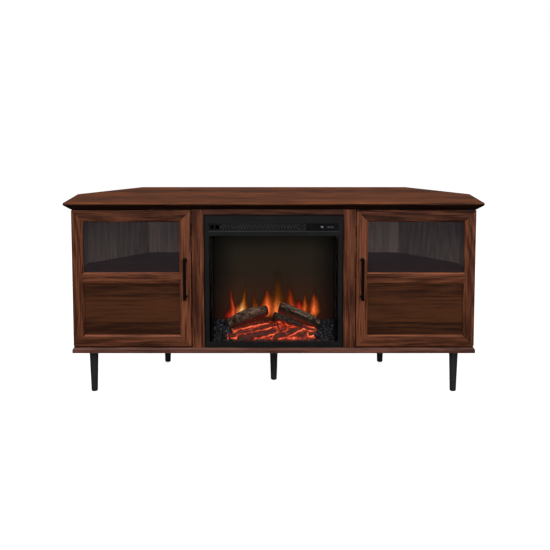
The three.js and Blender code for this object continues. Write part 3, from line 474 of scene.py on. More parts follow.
# Tongues of light: x, foot over the tray, height, half width and lean to the tip in millimetres, and
# the light they add
TONGUES = [
    (-137, 84, 124, 6, -17, (1, 0.1, 0.03)),
    (-149, 74, 50, 14, 4, (0.55, 0.022, 0.012)),
    (-139, 78, 36, 6, 0, (0.45, 0.06, 0.02)),
    (-109, 80, 70, 17, 8, (1.4, 0.52, 0.11)),
    (-111, 88, 42, 10, 4, (0.9, 0.7, 0.34)),
    (-102, 104, 112, 8, 8, (0.52, 0.125, 0.01)),
    (-122, 84, 50, 9, -3, (0.85, 0.13, 0.022)),
    (-67, 100, 98, 7, 0, (0.24, 0.05, 0.006)),
    (-58, 100, 40, 9, 0, (0.36, 0.075, 0.01)),
    (-22, 88, 102, 16, 0, (1.9, 0.27, 0.048)),
    (-22, 98, 54, 8.5, 0, (0.6, 0.2, 0.07)),
    (-34, 92, 42, 8, -2, (0.55, 0.08, 0.012)),
    (8, 78, 84, 11.5, 2, (1.6, 0.36, 0.09)),
    (17, 82, 78, 5.5, 3, (0.85, 0.19, 0.045)),
    (14, 100, 190, 26, 1, (0.24, 0.06, 0.004)),
    (62, 104, 100, 10.5, -15, (0.55, 0.05, 0.008)),
    (58, 104, 140, 17, -12, (0.1, 0.02, 0.004)),
    (86, 98, 50, 12.5, 0, (1.05, 0.035, 0.02)),
    (107, 96, 86, 7, -1, (0.75, 0.14, 0.014)),
    (102, 92, 50, 10, 4, (0.3, 0.06, 0.01)),
    (137, 92, 88, 11.5, -2, (1.5, 0.24, 0.06)),
    (149, 92, 96, 9, -3, (0.26, 0.06, 0.005)),
    (130, 80, 44, 5, 5, (0.6, 0.16, 0.022)),
    (143, 78, 40, 5, -2, (0.45, 0.11, 0.018)),
    (-70, 60, 170, 130, 0, (0.042, 0.0082, 0.0024)),
    (80, 60, 170, 120, 0, (0.042, 0.0082, 0.0024)),
    (-120, 70, 88, 50, 0, (0.06, 0.007, 0.0025)),
    (0, 80, 92, 44, 0, (0.065, 0.01, 0.0025)),
    (115, 80, 86, 44, 0, (0.07, 0.0095, 0.003)),
]
SWAY = 5.0 * MM
OPAQUE_LIGHT = 0.10  # light at which a tongue hides the screen behind it
THINNEST = 0.6 * MM


def tongue_group():
    """One tongue of light that is added to what is already on the screen at a place."""
    inputs = dict.fromkeys(("Place", "Light", "Tint"), "Vector")
    inputs |= dict.fromkeys(("X", "Foot", "Height", "Half", "Lean"), "Float")
    group, source, target = new_group("flame_tongue", inputs, {"Light": "Vector"})
    at = parts_of(source["Place"])
    rise = maths("DIVIDE", maths("SUBTRACT", at["Z"], source["Foot"]), source["Height"])
    inside = ranged(rise, 0.0, 1.0)
    left = maths("SUBTRACT", 1.0, inside)
    bend = times(source["Lean"], maths("POWER", inside, 1.4))
    off = maths("SUBTRACT", maths("SUBTRACT", at["X"], source["X"]), bend)
    foot = ranged(rise, -0.1, 0.3, 0.55, 1.0)
    taper = times(maths("POWER", left, 0.75), foot)
    width = maths("MAXIMUM", times(source["Half"], taper), THINNEST)
    steep = maths("POWER", maths("ABSOLUTE", maths("DIVIDE", off, width)), 1.35)
    body = maths("EXPONENT", times(steep, -1.2))
    ends = times(maths("POWER", left, 1.9), ranged(rise, -0.12, 0.10))
    glow = scaled(source["Tint"], times(body, ends))
    connect(target, {"Light": vectors("ADD", source["Light"], glow)})
    return group


def flame_light(tree, shader):
    """Light thrown on the screen: the tongues added up over a place that a slow noise bends."""
    at = object_place(tree)
    bend = maths("SUBTRACT", noise_at(at, (26.0, 1.0, 34.0)), 0.5)
    place = vectors("ADD", at, joined(X=times(bend, 2 * SWAY)))
    group = tongue_group()
    light = (0.0, 0.0, 0.0)
    for x, foot, height, half, lean, tint in TONGUES:
        inputs = {"Place": place, "Light": light, "Tint": tint, "X": x * MM, "Foot": TRAY + foot * MM}
        inputs |= {"Height": height * MM, "Half": half * MM, "Lean": lean * MM}
        light = node(tree, "Group", inputs, node_tree=group).outputs["Light"]
    flicker = ranged(noise_at(at, (60.0, 1.0, 90.0), 3.0), 0.25, 0.75, 0.78, 1.15)
    lit = scaled(light, flicker)
    alpha = ranged(parts_of(lit)["X"], 0.0, OPAQUE_LIGHT)
    surface(shader, base=(0.0, 0.0, 0.0), specular=0.0, glow=lit, strength=1.0, alpha=alpha)


def haze(tree, shader):
    """The smoked screen: a warm dim haze that darkens towards its edges, redder low down."""
    sideways = maths("ABSOLUTE", maths("DIVIDE", object_place(tree, "X"), SCREEN_HIGH.x))
    rise = ranged(object_place(tree, "Z"), SCREEN_LOW.z, SCREEN_HIGH.z)
    edge = ranged(sideways, 0.62, 0.99, 1.0, 0.12)
    top = ranged(rise, 0.80, 1.0, 1.0, 0.25)
    cloud = noise_at(object_place(tree), (7.0, 1.0, 5.0))
    level = times(times(edge, top), ranged(cloud, 0.2, 0.8, 0.75, 1.15))
    stops = (
        (0.0, (0.060, 0.009, 0.005)),
        (0.35, (0.041, 0.0138, 0.0062)),
        (0.6, (0.0180, 0.0108, 0.0060)),
        (1.0, (0.0125, 0.0115, 0.0072)),
    )
    glow = blended(level, (0.001, 0.001, 0.001), ramp(rise, stops))
    rough = ranged(cloud, 0.3, 0.7, 0.45, 0.6)
    surface(shader, base=(0.004, 0.0035, 0.003), roughness=rough, specular=0.1, glow=glow, strength=1.0)


def lamp(tree, shader, tint, strength):
    """A small lit mark under a smoked window."""
    cells = ranged(noise_at(object_place(tree), 700.0, detail=1.0), 0.3, 0.6)
    glow = blended(cells, toned(tint, 0.55), tint)
    surface(shader, base=(0.02, 0.02, 0.02), glow=glow, strength=strength)


# Every shared material: what dresses its shader, its name and its looks
LOOKS = (
    (coated, "black_metal", (0.0225, 0.0235, 0.0225), 0.38),
    (coated, "handle_black", (0.0026, 0.0012, 0.0008), 0.42, 0.18),
    (coated, "bezel_black", (0.0068, 0.0070, 0.0070), 0.5, 0.3),
    (coated, "case_black", (0.0045, 0.0045, 0.0045), 0.6, 0.2),
    (coated, "grille_black", (0.0170, 0.0180, 0.0155), 0.4),
    # The lip's lighter bluish coat is a painted highlight
    (coated, "lip_black", (0.0330, 0.0370, 0.0410), 0.35),
    (coated, "panel_black", (0.0038, 0.0040, 0.0044), 0.3, 0.3),
    (coated, "black_plastic", (0.012, 0.012, 0.013), 0.45),
    (coated, "grey_plastic", (0.055, 0.058, 0.064), 0.4),
    (brushed, "steel", (0.075, 0.072, 0.070), 0.42),
    (brushed, "galvanised", (0.42, 0.43, 0.44), 0.42, (60.0, 60.0, 60.0)),
    (brushed, "mirror", (0.78, 0.78, 0.78), 0.12, (120.0, 40.0, 40.0)),
    # The door panes' grey veil: partly the glass's tint, partly a painted reflection
    (pane, "door_glass", (0.050, 0.041, 0.050), 0.26, 0.10),
    (pane, "fire_glass", (0.006, 0.006, 0.006), 0.05, 0.08),
    (embers, "ember"),
    (coal, "coal"),
    (flame_light, "flame"),
    (haze, "haze"),
    (bark, "log_grey", (0.010, 0.006, 0.004), (0.215, 0.125, 0.083), 1.0),
    (bark, "log_tan", (0.009, 0.006, 0.004), (0.34, 0.23, 0.16), 1.0),
    (bark, "log_char", (0.006, 0.005, 0.005), (0.10, 0.062, 0.045), 1.3),
    (lamp, "display", (0.80, 0.86, 0.92), 0.5),
)
M = {}
for make, name, *looks in LOOKS:
    M[name], *parts = new_material(name)
    make(*parts, *looks)


WELD_GAP = 0.01 * MM
SHARP = math.radians(30)


def paint(name, material):
    """Gives a CAD node its material."""
    mesh = nodes[name].data
    mesh.materials.clear()
    mesh.materials.append(material)


def soften(name, width):
    """Rounds the sharp edges of a CAD node a little, as sanding or a mould does."""
    piece = nodes[name]
    weld = piece.modifiers.new("weld", "WELD")
    weld.merge_threshold = WELD_GAP
    bevel = piece.modifiers.new("edges", "BEVEL")
    bevel.width = width
    bevel.segments = 2
    bevel.limit_method = "ANGLE"
    bevel.angle_limit = SHARP
    bevel.use_clamp_overlap = True


RAIL_TONES = {"top_rail": WALNUT_RAIL, "bottom_rail": WALNUT_RAIL, "middle_rail": WALNUT}
# The tint goes with the painted shade on the nose and the painted highlight on its arris
TOP_TINT = (1.0, 1.16, 1.7)  # the nose and the slope under it are less orange than the top
TOP_PLANKS = {"planks": PLAN_FRONT - PLANK_WIDTH, "contrast": 0.10}
PANEL_PLANKS = {"planks": PANEL_PLANK_START, "contrast": 0.42}


def dress_side(hand, seed):
    """Dresses one side's boards and its door. Each board has its own seed, so that no two look alike."""
    side = HANDS[hand]
    slant = (side * math.sqrt(0.5), math.sqrt(0.5), 0.0)
    divider = two_faced(f"{hand}_divider", GRAIN_Z_SIDE, seed + 2, (-side, 0.0, 0.0))
    dressing = {
        "side_panel": two_faced(f"{hand}_side_board", GRAIN_Z_SIDE, seed, (side, 0.0, 0.0)),
        "slanted_panel": two_faced(f"{hand}_slanted_board", GRAIN_Z, seed + 1, slant),
        # Painted shade on the divider's front and back edges, dark as the door gap in front of it
        "divider_panel": light_and_shade_by_facing(divider, BACKWARDS, 1.0, 0.06),
        "front_stile": walnut(f"walnut_{hand}_front_stile", GRAIN_Z, seed + 4),
        "shelf": walnut(f"walnut_{hand}_shelf", GRAIN_X_FLAT, seed + 5, WALNUT_DARK),
        "door_panel": walnut(f"walnut_{hand}_panel", GRAIN_X, seed + 12, WALNUT_DARK, **PANEL_PLANKS),
        "door_glass": M["door_glass"],
        "door_handle": M["handle_black"],
        "door_catch": M["black_plastic"],
    }
    for i, part in enumerate(("outer_stile", "inner_stile")):
        dressing[f"door_{part}"] = walnut(f"walnut_{hand}_{part}", GRAIN_Z, seed + 6 + i)
    for i, (part, tones) in enumerate(RAIL_TONES.items()):
        rail = walnut(f"walnut_{hand}_{part}", GRAIN_X, seed + 8 + i, tones)
        # Painted highlight on each rail's faces that look up or down and on its bevels
        dressing[f"door_{part}"] = light_and_shade_by_facing(rail, UP, 1.0, 1.8, slanting=1.7)
    for part, material in dressing.items():
        paint(f"{hand}_{part}", material)


def dress_cabinet():
    # The top's underside and the slope under its nose get painted shade (WALNUT_SHADED)
    top = two_faced("walnut_top", GRAIN_X_FLAT, 1, UP, WALNUT_SHADED, tones=WALNUT_TOP, **TOP_PLANKS)
    # Painted shade on the top's front nose and a painted highlight along its arris
    paint("top_panel", light_and_shade_by_facing(top, UP, 0.42, 1.08, slanting=1.22, tint=TOP_TINT))
    paint("base_panel", walnut("walnut_base", GRAIN_X, 2, WALNUT_BASE))
    paint("bay_rail", walnut("walnut_bay_rail", GRAIN_X, 3, WALNUT_BAY_SHADOWED))
    paint("back_panel", backing_board("back_board", 4))
    dress_side("right", 20)
    dress_side("left", 40)
    soften("base_panel", 0.9 * MM)
    for name in nodes:
        if name.endswith("_leaf"):
            paint(name, M["steel"])
        elif name.endswith("_leg"):
            paint(name, M["black_metal"])
            nodes[name].data.shade_smooth()
        elif name.endswith(("_stile", "_rail")):
            soften(name, 0.5 * MM)


# The insert's edges that lie in shade: material, axis, where the shade starts and how much light is left
SHADES = (
    ("grille_black", "X", -174 * MM, 0.16),
    ("bezel_black", "Z", 602.4 * MM, 0.06),
    ("bezel_black", "X", 226.0 * MM, 0.3),
    ("bezel_black", "X", -226.0 * MM, 0.3),
)
SHADE_SOFTNESS = 1 * MM
INSERT = {
    "insert_case": "case_black",
    "insert_bezel": "bezel_black",
    "insert_glass": "fire_glass",
    "outlet_grille": "grille_black",
    "control_panel": "panel_black",
    "power_button": "grey_plastic",
    "heat_button": "grey_plastic",
    "blower_housing": "galvanised",
    "blower_wheel": "galvanised",
    "flame_screen": "haze",
    "flame_rotor": "mirror",
    "rotor_motor": "black_plastic",
}


def shade_past(material, axis, edge, level):
    """Darkens a material beyond a place on an axis: above it, or below it where it is negative."""
    tree, shader, coat = reopened(material)
    toward = math.copysign(SHADE_SOFTNESS, edge)
    (low, at_low), (high, at_high) = sorted([(edge - toward, 1.0), (edge + toward, level)])
    light = ranged(object_place(tree, axis), low, high, at_low, at_high)
    surface(shader, base=scaled(coat, light))


def dress_insert():
    for name, axis, edge, level in SHADES:
        shade_past(M[name], axis, edge, level)
    for name, material in INSERT.items():
        paint(name, M[material])
    soften("insert_bezel", 0.8 * MM)
    soften("control_panel", 0.5 * MM)


# Mesh helpers


def mesh_of(name, places, faces):
    mesh = bpy.data.meshes.new(name)
    mesh.from_pydata(places, [], faces)
    return mesh


def finished(shape, name):
    mesh = bpy.data.meshes.new(name)
    shape.to_mesh(mesh)
    shape.free()
    return mesh


def new_piece(mesh, material, body="cabinet"):
    """A piece of the visual model, named after its mesh, that rides on a body."""
    piece = in_scene(mesh.name, mesh)
    mesh.materials.append(material)
    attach(piece, body)
    return piece


def grid_faces(rows, columns, closed):
    """Faces of a grid of points, row by row, with its columns joined round if it is closed."""
    faces = []
    for row in range(rows - 1):
        for column in range(columns if closed else columns - 1):
            after = (column + 1) % columns
            a, b = row * columns + column, row * columns + after
            faces.append((a, b, b + columns, a + columns))
    return faces


def attribute(mesh, name, values):
    made = mesh.attributes.new(name, "FLOAT", "POINT")
    made.data.foreach_set("value", np.asarray(values, np.float32))


def bark_map(mesh, places):
    """The bark's UV map from one (u, v) for each vertex."""
    layer = mesh.uv_layers.new(name="bark")
    loops = np.zeros(len(mesh.loops), np.int32)
    mesh.loops.foreach_get("vertex_index", loops)
    layer.data.foreach_set("uv", np.asarray(places, np.float32)[loops].ravel())


# Logs

BARK_RINGS = 120
BARK_SIDES = 72
# The bark's grooves: how often they repeat round the log and along it, and how far they twist
ROUND = 2.4
ALONG = 3.2
TWIST = 2.2
# Where ash and painted light from above thicken, by how far a point's direction looks up
ASH_AND_LIGHT_RISE = (-0.35, 0.75)
SPLIT = {
    "facets": (((0.2, -0.42, 0.88), 0.80), ((0.0, -0.99, -0.10), 0.80)),
    "cleft": (0.2, -0.25, 0.95),
    "ash_and_light_rise": (0.50, 0.74),
}


def curve_through(points, share):
    """A place on the quadratic curve that starts, leans and ends at three points."""
    start, lean, end = points
    return (1 - share) ** 2 * start + 2 * share * (1 - share) * lean + share**2 * end


def smooth(value, low, high):
    """A soft step from 0 at the low value to 1 at the high one."""
    share = float(np.clip((value - low) / (high - low), 0, 1))
    return share * share * (3 - 2 * share)


def bark_log(name, points, radii, grooves, seed, material, glow, facets=(), cleft=None, ash_and_light_rise=ASH_AND_LIGHT_RISE):
    """A log with grooved bark, cut at both ends, along a curve through three points.

    Radii are in millimetres. Facets are flats where the log was split, each a direction and its distance
    as a share of the radius. A cleft is a direction that a long crack lies in, painted darker as painted
    shade.
    Ash together with painted light from above thickens between two heights of a point's own direction, so
    the log is lighter on its upper faces.
    """
    radii = [radius * MM for radius in radii]
    length = (points[2] - points[0]).length
    places, uv, heat, ash_and_top_light = [], [], [], []
    for ring in range(BARK_RINGS):
        share = ring / (BARK_RINGS - 1)
        centre = curve_through(points, share)
        ahead = curve_through(points, min(1.0, share + 0.01)) - curve_through(points, max(0.0, share - 0.01))
        along = ahead.normalized()
        across = Vector((0, 1, 0)).cross(along).normalized()
        up = along.cross(across)
        radius = np.interp(share, np.linspace(0, 1, len(radii)), radii)
        rounding = 1 - 0.35 * (1 - smooth(min(share, 1 - share), 0.0, 0.035))
        for side in range(BARK_SIDES):
            angle = 2 * math.pi * side / BARK_SIDES
            ray = across * math.cos(angle) + up * math.sin(angle)
            swirl = angle + TWIST * share
            where = Vector((ROUND * math.cos(swirl), ROUND * math.sin(swirl), ALONG * share + seed))
            ridge = 1 - abs(noise.noise(where * grooves))
            lump = noise.noise(where * 0.8)
            fine = noise.noise(where * 6.5)
            r = radius * (0.92 + 0.14 * ridge**3 + 0.12 * lump)
            for direction, reach in facets:
                ahead_of_flat = ray.dot(Vector(direction))
                if ahead_of_flat > 0.05:
                    r = min(r, radius * reach * (1 + 0.10 * lump) / ahead_of_flat)
            shade = 1.0
            # Painted shade along the crack: the bark is darker in the cleft
            if cleft:
                near = math.exp((ray.dot(Vector(cleft).normalized()) - 1) / 0.022)
                near *= smooth(share, 0.03, 0.15) * smooth(1 - share, 0.05, 0.25)
                r *= 1 - 0.34 * near
                shade -= 0.8 * near
            r = min(r * (1 + 0.05 * fine), radius * 1.12) * rounding
            places.append(centre + ray * r)
            uv.append((share * length, angle * radius))
            below = max(0.0, -0.95 * ray.z - 0.12 * ray.y) ** 1.3
            heat.append(glow * below * smooth(share, 0.0, 0.2))
            end_dark = smooth(min(share, 1 - share), 0.0, 0.05)
            # Ash with painted light from above: lighter on faces that look up and to the front, darker
            # towards both ends and in the cleft
            ash_and_top_light.append(shade * end_dark * (0.10 + 0.90 * smooth(ray.z - 0.25 * ray.y, *ash_and_light_rise)))
    faces = grid_faces(BARK_RINGS, BARK_SIDES, closed=True)
    for start, end_share in ((0, 0.0), ((BARK_RINGS - 1) * BARK_SIDES, 1.0)):
        places.append(curve_through(points, end_share))
        uv.append((end_share * length, 0.0))
        heat.append(0.0)
        ash_and_top_light.append(0.0)
        centre = len(places) - 1
        for side in range(BARK_SIDES):
            edge = (start + side, start + (side + 1) % BARK_SIDES)
            faces.append((*(reversed(edge) if end_share == 0.0 else edge), centre))
    mesh = mesh_of(name, places, faces)
    mesh.shade_smooth()
    bark_map(mesh, uv)
    attribute(mesh, "ember_heat", heat)
    attribute(mesh, "ash_and_top_light", ash_and_top_light)
    return new_piece(mesh, material)


def bowed(start, end, bow):
    """A log's spine: its start, a point that bows it up, and its end."""
    return [start, (start + end) / 2 + Vector((0, 0, bow)), end]


def log_spine(name, thickness, bow):
    """A CAD log's spine from its box, from the low end to the high one."""
    low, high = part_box(name)
    y = (low.y + high.y) / 2
    ends = [low.x + 0.35 * thickness, high.x - 0.35 * thickness]
    if name == "right_log":
        ends.reverse()
    return bowed(Vector((ends[0], y, low.z + thickness)), Vector((ends[1], y, high.z - thickness)), bow)


def make_logs():
    spine = log_spine("left_log", 18 * MM, 14 * MM)
    left = bark_log("bark_left_log", spine, (17, 23, 22, 19, 15), 2.3, 1.0, M["log_grey"], 0.42)
    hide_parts("left_log")
    spine = log_spine("right_log", 17 * MM, 6 * MM)
    right = bark_log("bark_right_log", spine, (14, 19, 21, 20), 1.8, 5.0, M["log_tan"], 0.45, **SPLIT)
    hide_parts("right_log")


# Ember bed: a relief of charred sticks on a glowing crown, from the tray's front to the screen

BED_HALF = 201 * MM
BED_COLUMNS = 360
BED_ROWS = 100
BED_BASE = 12 * MM
BED_CROWN = 50 * MM
BED_DEPTH = 65 * MM
BED_START = 38.5 * MM  # behind the top board's front edge
STICK_RADIUS = 10.2 * MM
DEPTH_STRETCH = 1.25  # the crown's length over its depth
CRUMB = 1.6 * MM
BARE_LIFT = 1.2 * MM
WANDER = ((3.0 * MM, 75, 2.0), (0.8 * MM, 260, 4.0))  # how far a stick's edge strays: reach, scale, seed
CRUMB_SCALE = 300
COLD_ENDS = 0.84  # the share of the half width where the glow is out
COLD_FRONT = 0.03

# Each stick: its ends as (share of the half width, share of the depth), its radius as a share of the
# stick radius, and how hot its edges are
STICKS = (
    ((-0.66, 0.50), (-0.10, 0.84), 0.85, 0.80),
    ((-0.74, 0.18), (-0.30, 0.42), 0.80, 1.00),
    ((-0.34, 0.40), (0.03, 0.66), 0.80, 0.90),
    ((-0.56, 0.10), (0.02, 0.36), 1.15, 0.75),
    ((0.03, 0.15), (0.30, 0.33), 1.00, 0.80),
    ((0.26, 0.34), (0.52, 0.58), 0.95, 0.80),
    ((0.06, 0.78), (0.10, 0.36), 0.45, 0.95),
    ((0.10, 0.36), (0.26, 0.50), 0.45, 0.90),
    ((0.46, 0.56), (0.72, 0.40), 0.60, 0.95),
    ((0.60, 0.26), (0.76, 0.34), 0.70, 1.00),
    ((-0.45, 0.80), (-0.08, 0.98), 0.80, 0.60),
    ((0.16, 0.86), (0.66, 0.62), 0.80, 0.85),
)

# Where the bare bed glows: centre and spread as shares of the half width and of the depth, and heat
HOT_ZONES = (
    (0.30, 0.10, 0.24, 0.10, 0.80),
    (0.67, 0.24, 0.09, 0.12, 0.95),
    (-0.66, 0.14, 0.10, 0.10, 0.60),
    (-0.10, 0.10, 0.16, 0.07, 0.55),
    (-0.30, 0.56, 0.34, 0.16, 0.42),
    (0.15, 0.60, 0.25, 0.25, 0.34),
    (0.52, 0.55, 0.22, 0.22, 0.60),
    (0.40, 0.95, 0.35, 0.20, 0.60),
)


def bed_place(x, share):
    """A point of the bed's crown and the direction that faces out of it, at a share of its depth."""
    turn = math.pi / 2 * share
    place = Vector((x, back(BED_START + BED_DEPTH * share), TRAY + BED_BASE + BED_CROWN * math.sin(turn)))
    slope = BED_CROWN * math.cos(turn) * math.pi / 2 / BED_DEPTH
    return place, Vector((0, -slope, 1)).normalized()


def noise_field(x, depth, scale, seed):
    """Noise at each point of the bed's grid."""
    places = zip(x.ravel() * scale, depth.ravel() * BED_DEPTH * DEPTH_STRETCH * scale)
    values = [noise.noise(Vector((u, v, seed))) for u, v in places]
    return np.array(values).reshape(x.shape)


def stick_field(x, depth, stick, wander):
    """How far each point of the grid is from a stick's spine, as a share of the stick's radius."""
    (x0, d0), (x1, d1), radius_share, _ = stick
    reach = BED_DEPTH * DEPTH_STRETCH
    start = np.array([x0 * BED_HALF, d0 * reach])
    axis = np.array([x1 * BED_HALF, d1 * reach]) - start
    here_x, here_y = x - start[0], depth * reach - start[1]
    share = np.clip((here_x * axis[0] + here_y * axis[1]) / (axis @ axis), 0, 1)
    off = np.hypot(here_x - share * axis[0], here_y - share * axis[1])
    radius = STICK_RADIUS * radius_share * (1.08 - 0.3 * share)
    return np.abs(off + wander) / radius, radius


def make_ember_bed():
    depth, across = np.meshgrid(np.linspace(0, 1, BED_ROWS), np.linspace(-1, 1, BED_COLUMNS), indexing="ij")
    x = across * BED_HALF
    wander = sum(reach * noise_field(x, depth, scale, seed) for reach, scale, seed in WANDER)
    crumbs = noise_field(x, depth, CRUMB_SCALE, 8.0)
    height = BARE_LIFT + CRUMB * crumbs
    heat = np.zeros_like(x)
    for centre, middle, width, spread, hot in HOT_ZONES:
        heat += hot * np.exp(-(((across - centre) / width) ** 2) - ((depth - middle) / spread) ** 2)
    heat = np.clip(heat, 0, 1) * np.clip(0.75 - 1.1 * crumbs, 0.1, 1.15)
    for stick in STICKS:
        hot = stick[3]
        off, radius = stick_field(x, depth, stick, wander)
        rise = radius * np.sqrt(np.clip(1 - off**2, 0, None)) + 0.5 * CRUMB * crumbs
        higher = (off < 1) & (rise > height)
        rim = np.clip((off - 0.58) / 0.38, 0, 1) ** 1.7
        halo = np.clip(1 - (off - 1) / 0.30, 0, 1) ** 2 * (off >= 1)
        heat = np.where(higher, hot * (0.13 + 0.95 * rim), np.maximum(heat, hot * halo))
        height = np.where(higher, rise, height)
    sides = np.clip((COLD_ENDS - np.abs(across)) / 0.10, 0, 1)
    front = np.clip((depth - COLD_FRONT) / 0.08, 0.05, 1)
    heat = heat * sides * front
    places = []
    for here, share, lift in zip(x.ravel(), depth.ravel(), height.ravel()):
        crown, outward = bed_place(here, share)
        places.append(crown + outward * float(lift))
    mesh = mesh_of("ember_relief", places, grid_faces(BED_ROWS, BED_COLUMNS, closed=False))
    attribute(mesh, "ember_heat", heat.ravel())
    close_down(mesh, TRAY)
    mesh.shade_smooth()
    bed = new_piece(mesh, M["ember"])
    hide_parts("ember_bed")


def close_down(mesh, floor):
    """Closes an open relief by walls down to a floor, and the floor."""
    shape = bmesh.new()
    shape.from_mesh(mesh)
    rim = [edge for edge in shape.edges if edge.is_boundary]
    walls = bmesh.ops.extrude_edge_only(shape, edges=rim)["geom"]
    for vertex in (v for v in walls if isinstance(v, bmesh.types.BMVert)):
        vertex.co.z = floor
    bottom = [e for e in walls if isinstance(e, bmesh.types.BMEdge) and e.is_boundary]
    bmesh.ops.holes_fill(shape, edges=bottom, sides=0)
    bmesh.ops.recalc_face_normals(shape, faces=shape.faces)
    shape.to_mesh(mesh)
    shape.free()


def make_middle_log():
    """A smaller log that leans over the sticks from the left to the right one."""
    start = Vector((-2 * MM, back(60 * MM), TRAY + 93 * MM))
    end = Vector((94 * MM, back(72 * MM), TRAY + 56 * MM))
    spine = bowed(start, end, 5 * MM)
    bark_log("bark_middle_log", spine, (16, 15.5, 14, 9), 2.0, 9.0, M["log_char"], 1.1)


# Coals heaped at both ends of the bed

COAL_SEED = 11
COAL_COUNT = 205
COAL_SMALLEST = 3.4 * MM
COAL_LARGEST = 6.6 * MM
HEAP_WIDTH = 63 * MM
HEAP_RISE = 3 * MM
CASE_HALF = 203 * MM


def make_coals(hand, side):
    dice = np.random.default_rng(COAL_SEED + side)
    shape = bmesh.new()
    for _ in range(COAL_COUNT):
        radius = dice.uniform(COAL_SMALLEST, COAL_LARGEST)
        inward = dice.uniform(0, 1)
        depth = dice.uniform(0.02, 0.98)
        x = side * (CASE_HALF - 0.5 * radius - inward * HEAP_WIDTH * (1.05 - 0.35 * depth))
        crown, _ = bed_place(x, depth)
        lift = HEAP_RISE * depth * (1 - 0.7 * inward) * dice.uniform(0.0, 1.0)
        turn = Matrix.Rotation(dice.uniform(0, math.pi), 4, Vector(dice.normal(size=3)).normalized())
        stretch = Matrix.Diagonal((*dice.uniform(0.8, 1.2, 3), 1.0))
        place = Matrix.Translation(crown + Vector((0, 0, radius * 0.6 + lift)))
        made = bmesh.ops.create_icosphere(shape, subdivisions=2, radius=radius)
        seed = Vector(dice.uniform(0, 50, 3))
        for vertex in made["verts"]:
            vertex.co *= 0.95 + 0.30 * noise.noise(vertex.co / radius * 1.3 + seed)
            vertex.co = place @ turn @ stretch @ vertex.co
            vertex.co.x = side * min(side * vertex.co.x, CASE_HALF)
    new_piece(finished(shape, f"{hand}_coals"), M["coal"])


# Flames: a sheet of light just in front of the smoked screen

FLAME_GAP = 0.6 * MM
FLAME_SIDE = 8 * MM  # clear of the screen's ends
FLAME_TOP = 240 * MM  # over the tray
FLAME_COLUMNS = 8
FLAME_ROWS = 6


def make_flames():
    xs = np.linspace(SCREEN_LOW.x + FLAME_SIDE, SCREEN_HIGH.x - FLAME_SIDE, FLAME_COLUMNS)
    zs = np.linspace(TRAY, TRAY + FLAME_TOP, FLAME_ROWS)
    places = [(x, SCREEN_LOW.y - FLAME_GAP, z) for z in zs for x in xs]
    mesh = mesh_of("flames", places, grid_faces(FLAME_ROWS, FLAME_COLUMNS, closed=False))
    flames = new_piece(mesh, M["flame"])
    flames.visible_shadow = False


# Small parts: the display's digits, the beads behind the panes, the back's screws and the outlet's lip

DISPLAY_MIDDLE = Vector((158 * MM, back(25.2 * MM), 566 * MM))
DIGIT_PITCH = 4.6 * MM
DIGIT_WIDTH = 2.9 * MM
DIGIT_HEIGHT = 4.6 * MM
SEGMENT = 0.75 * MM
SEGMENT_RAISE = 0.2 * MM
DISPLAY_READING = "72"

# The reading's figures, as strokes between two corners of a grid two high and one wide
DIGITS = {
    "7": (((0, 2), (1, 2)), ((1, 1), (1, 2)), ((1, 0), (1, 1))),
    "2": (((0, 2), (1, 2)), ((1, 1), (1, 2)), ((0, 1), (1, 1)), ((0, 0), (0, 1)), ((0, 0), (1, 0))),
}


def block(shape, low, high):
    """Adds a box between two corners to a mesh in the making."""
    size = Matrix.Diagonal((*(high - low), 1.0))
    bmesh.ops.create_cube(shape, size=1.0, matrix=Matrix.Translation((low + high) / 2) @ size)


def make_display():
    shape = bmesh.new()
    margin = (DIGIT_PITCH - DIGIT_WIDTH) / 2
    bottom = DISPLAY_MIDDLE.z - DIGIT_HEIGHT / 2
    around = Vector((SEGMENT / 2, 0, SEGMENT / 2))
    raised = Vector((0, SEGMENT_RAISE, 0))
    for place, digit in enumerate(DISPLAY_READING):
        left = DISPLAY_MIDDLE.x + (place - len(DISPLAY_READING) / 2) * DIGIT_PITCH + margin
        for stroke in DIGITS[digit]:
            ends = [(left + x * DIGIT_WIDTH, bottom + z * DIGIT_HEIGHT / 2) for x, z in stroke]
            low, high = (Vector((x, DISPLAY_MIDDLE.y, z)) for x, z in ends)
            block(shape, low - around, high + around + raised)
    new_piece(finished(shape, "display_digits"), M["display"])


# Each pane's bead: its section as (distance in from the rebate's wall, depth behind the pane)
BEAD_SECTION = ((0.0, 0.0), (6.5, 0.0), (6.5, 1.2), (5.6, 3.0), (3.6, 4.2), (0.0, 4.4))
BEAD_PLAY = 0.3 * MM


def make_beads(hand, pane_name):
    """A moulded bead round the back of a pane, mitred at its corners, that holds it in its rebate."""
    name = f"{pane_name}_bead"
    low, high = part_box(pane_name)
    places = []
    for inset, depth in BEAD_SECTION:
        inset = inset * MM + BEAD_PLAY
        y = high.y + BEAD_PLAY + depth * MM
        left, right = low.x + inset, high.x - inset
        bottom, top = low.z + inset, high.z - inset
        places += [(left, y, bottom), (right, y, bottom), (right, y, top), (left, y, top)]
    rounds = grid_faces(len(BEAD_SECTION) + 1, 4, closed=True)
    mesh = mesh_of(name, places, [tuple(index % len(places) for index in face) for face in rounds])
    mesh.validate()
    new_piece(mesh, walnut(f"walnut_{name}", GRAIN_X, 70), body=f"{hand}_door")


SCREW_RADIUS = 3.2 * MM
SCREW_RISE = 1.6 * MM
SCREW_RIM = 0.1 * MM
SCREW_SIDES = 20
SCREW_RINGS = 5
SCREW_CROSS = 0.7 * MM
SCREW_CROSS_REACH = 0.75 * SCREW_RADIUS
SCREW_INSET = 8 * MM
SCREW_GAP = 0.05 * MM
BACK_COLUMNS = 9
BACK_SHARES = (0.25, 0.5, 0.75)  # the heights of the screws into the upright boards


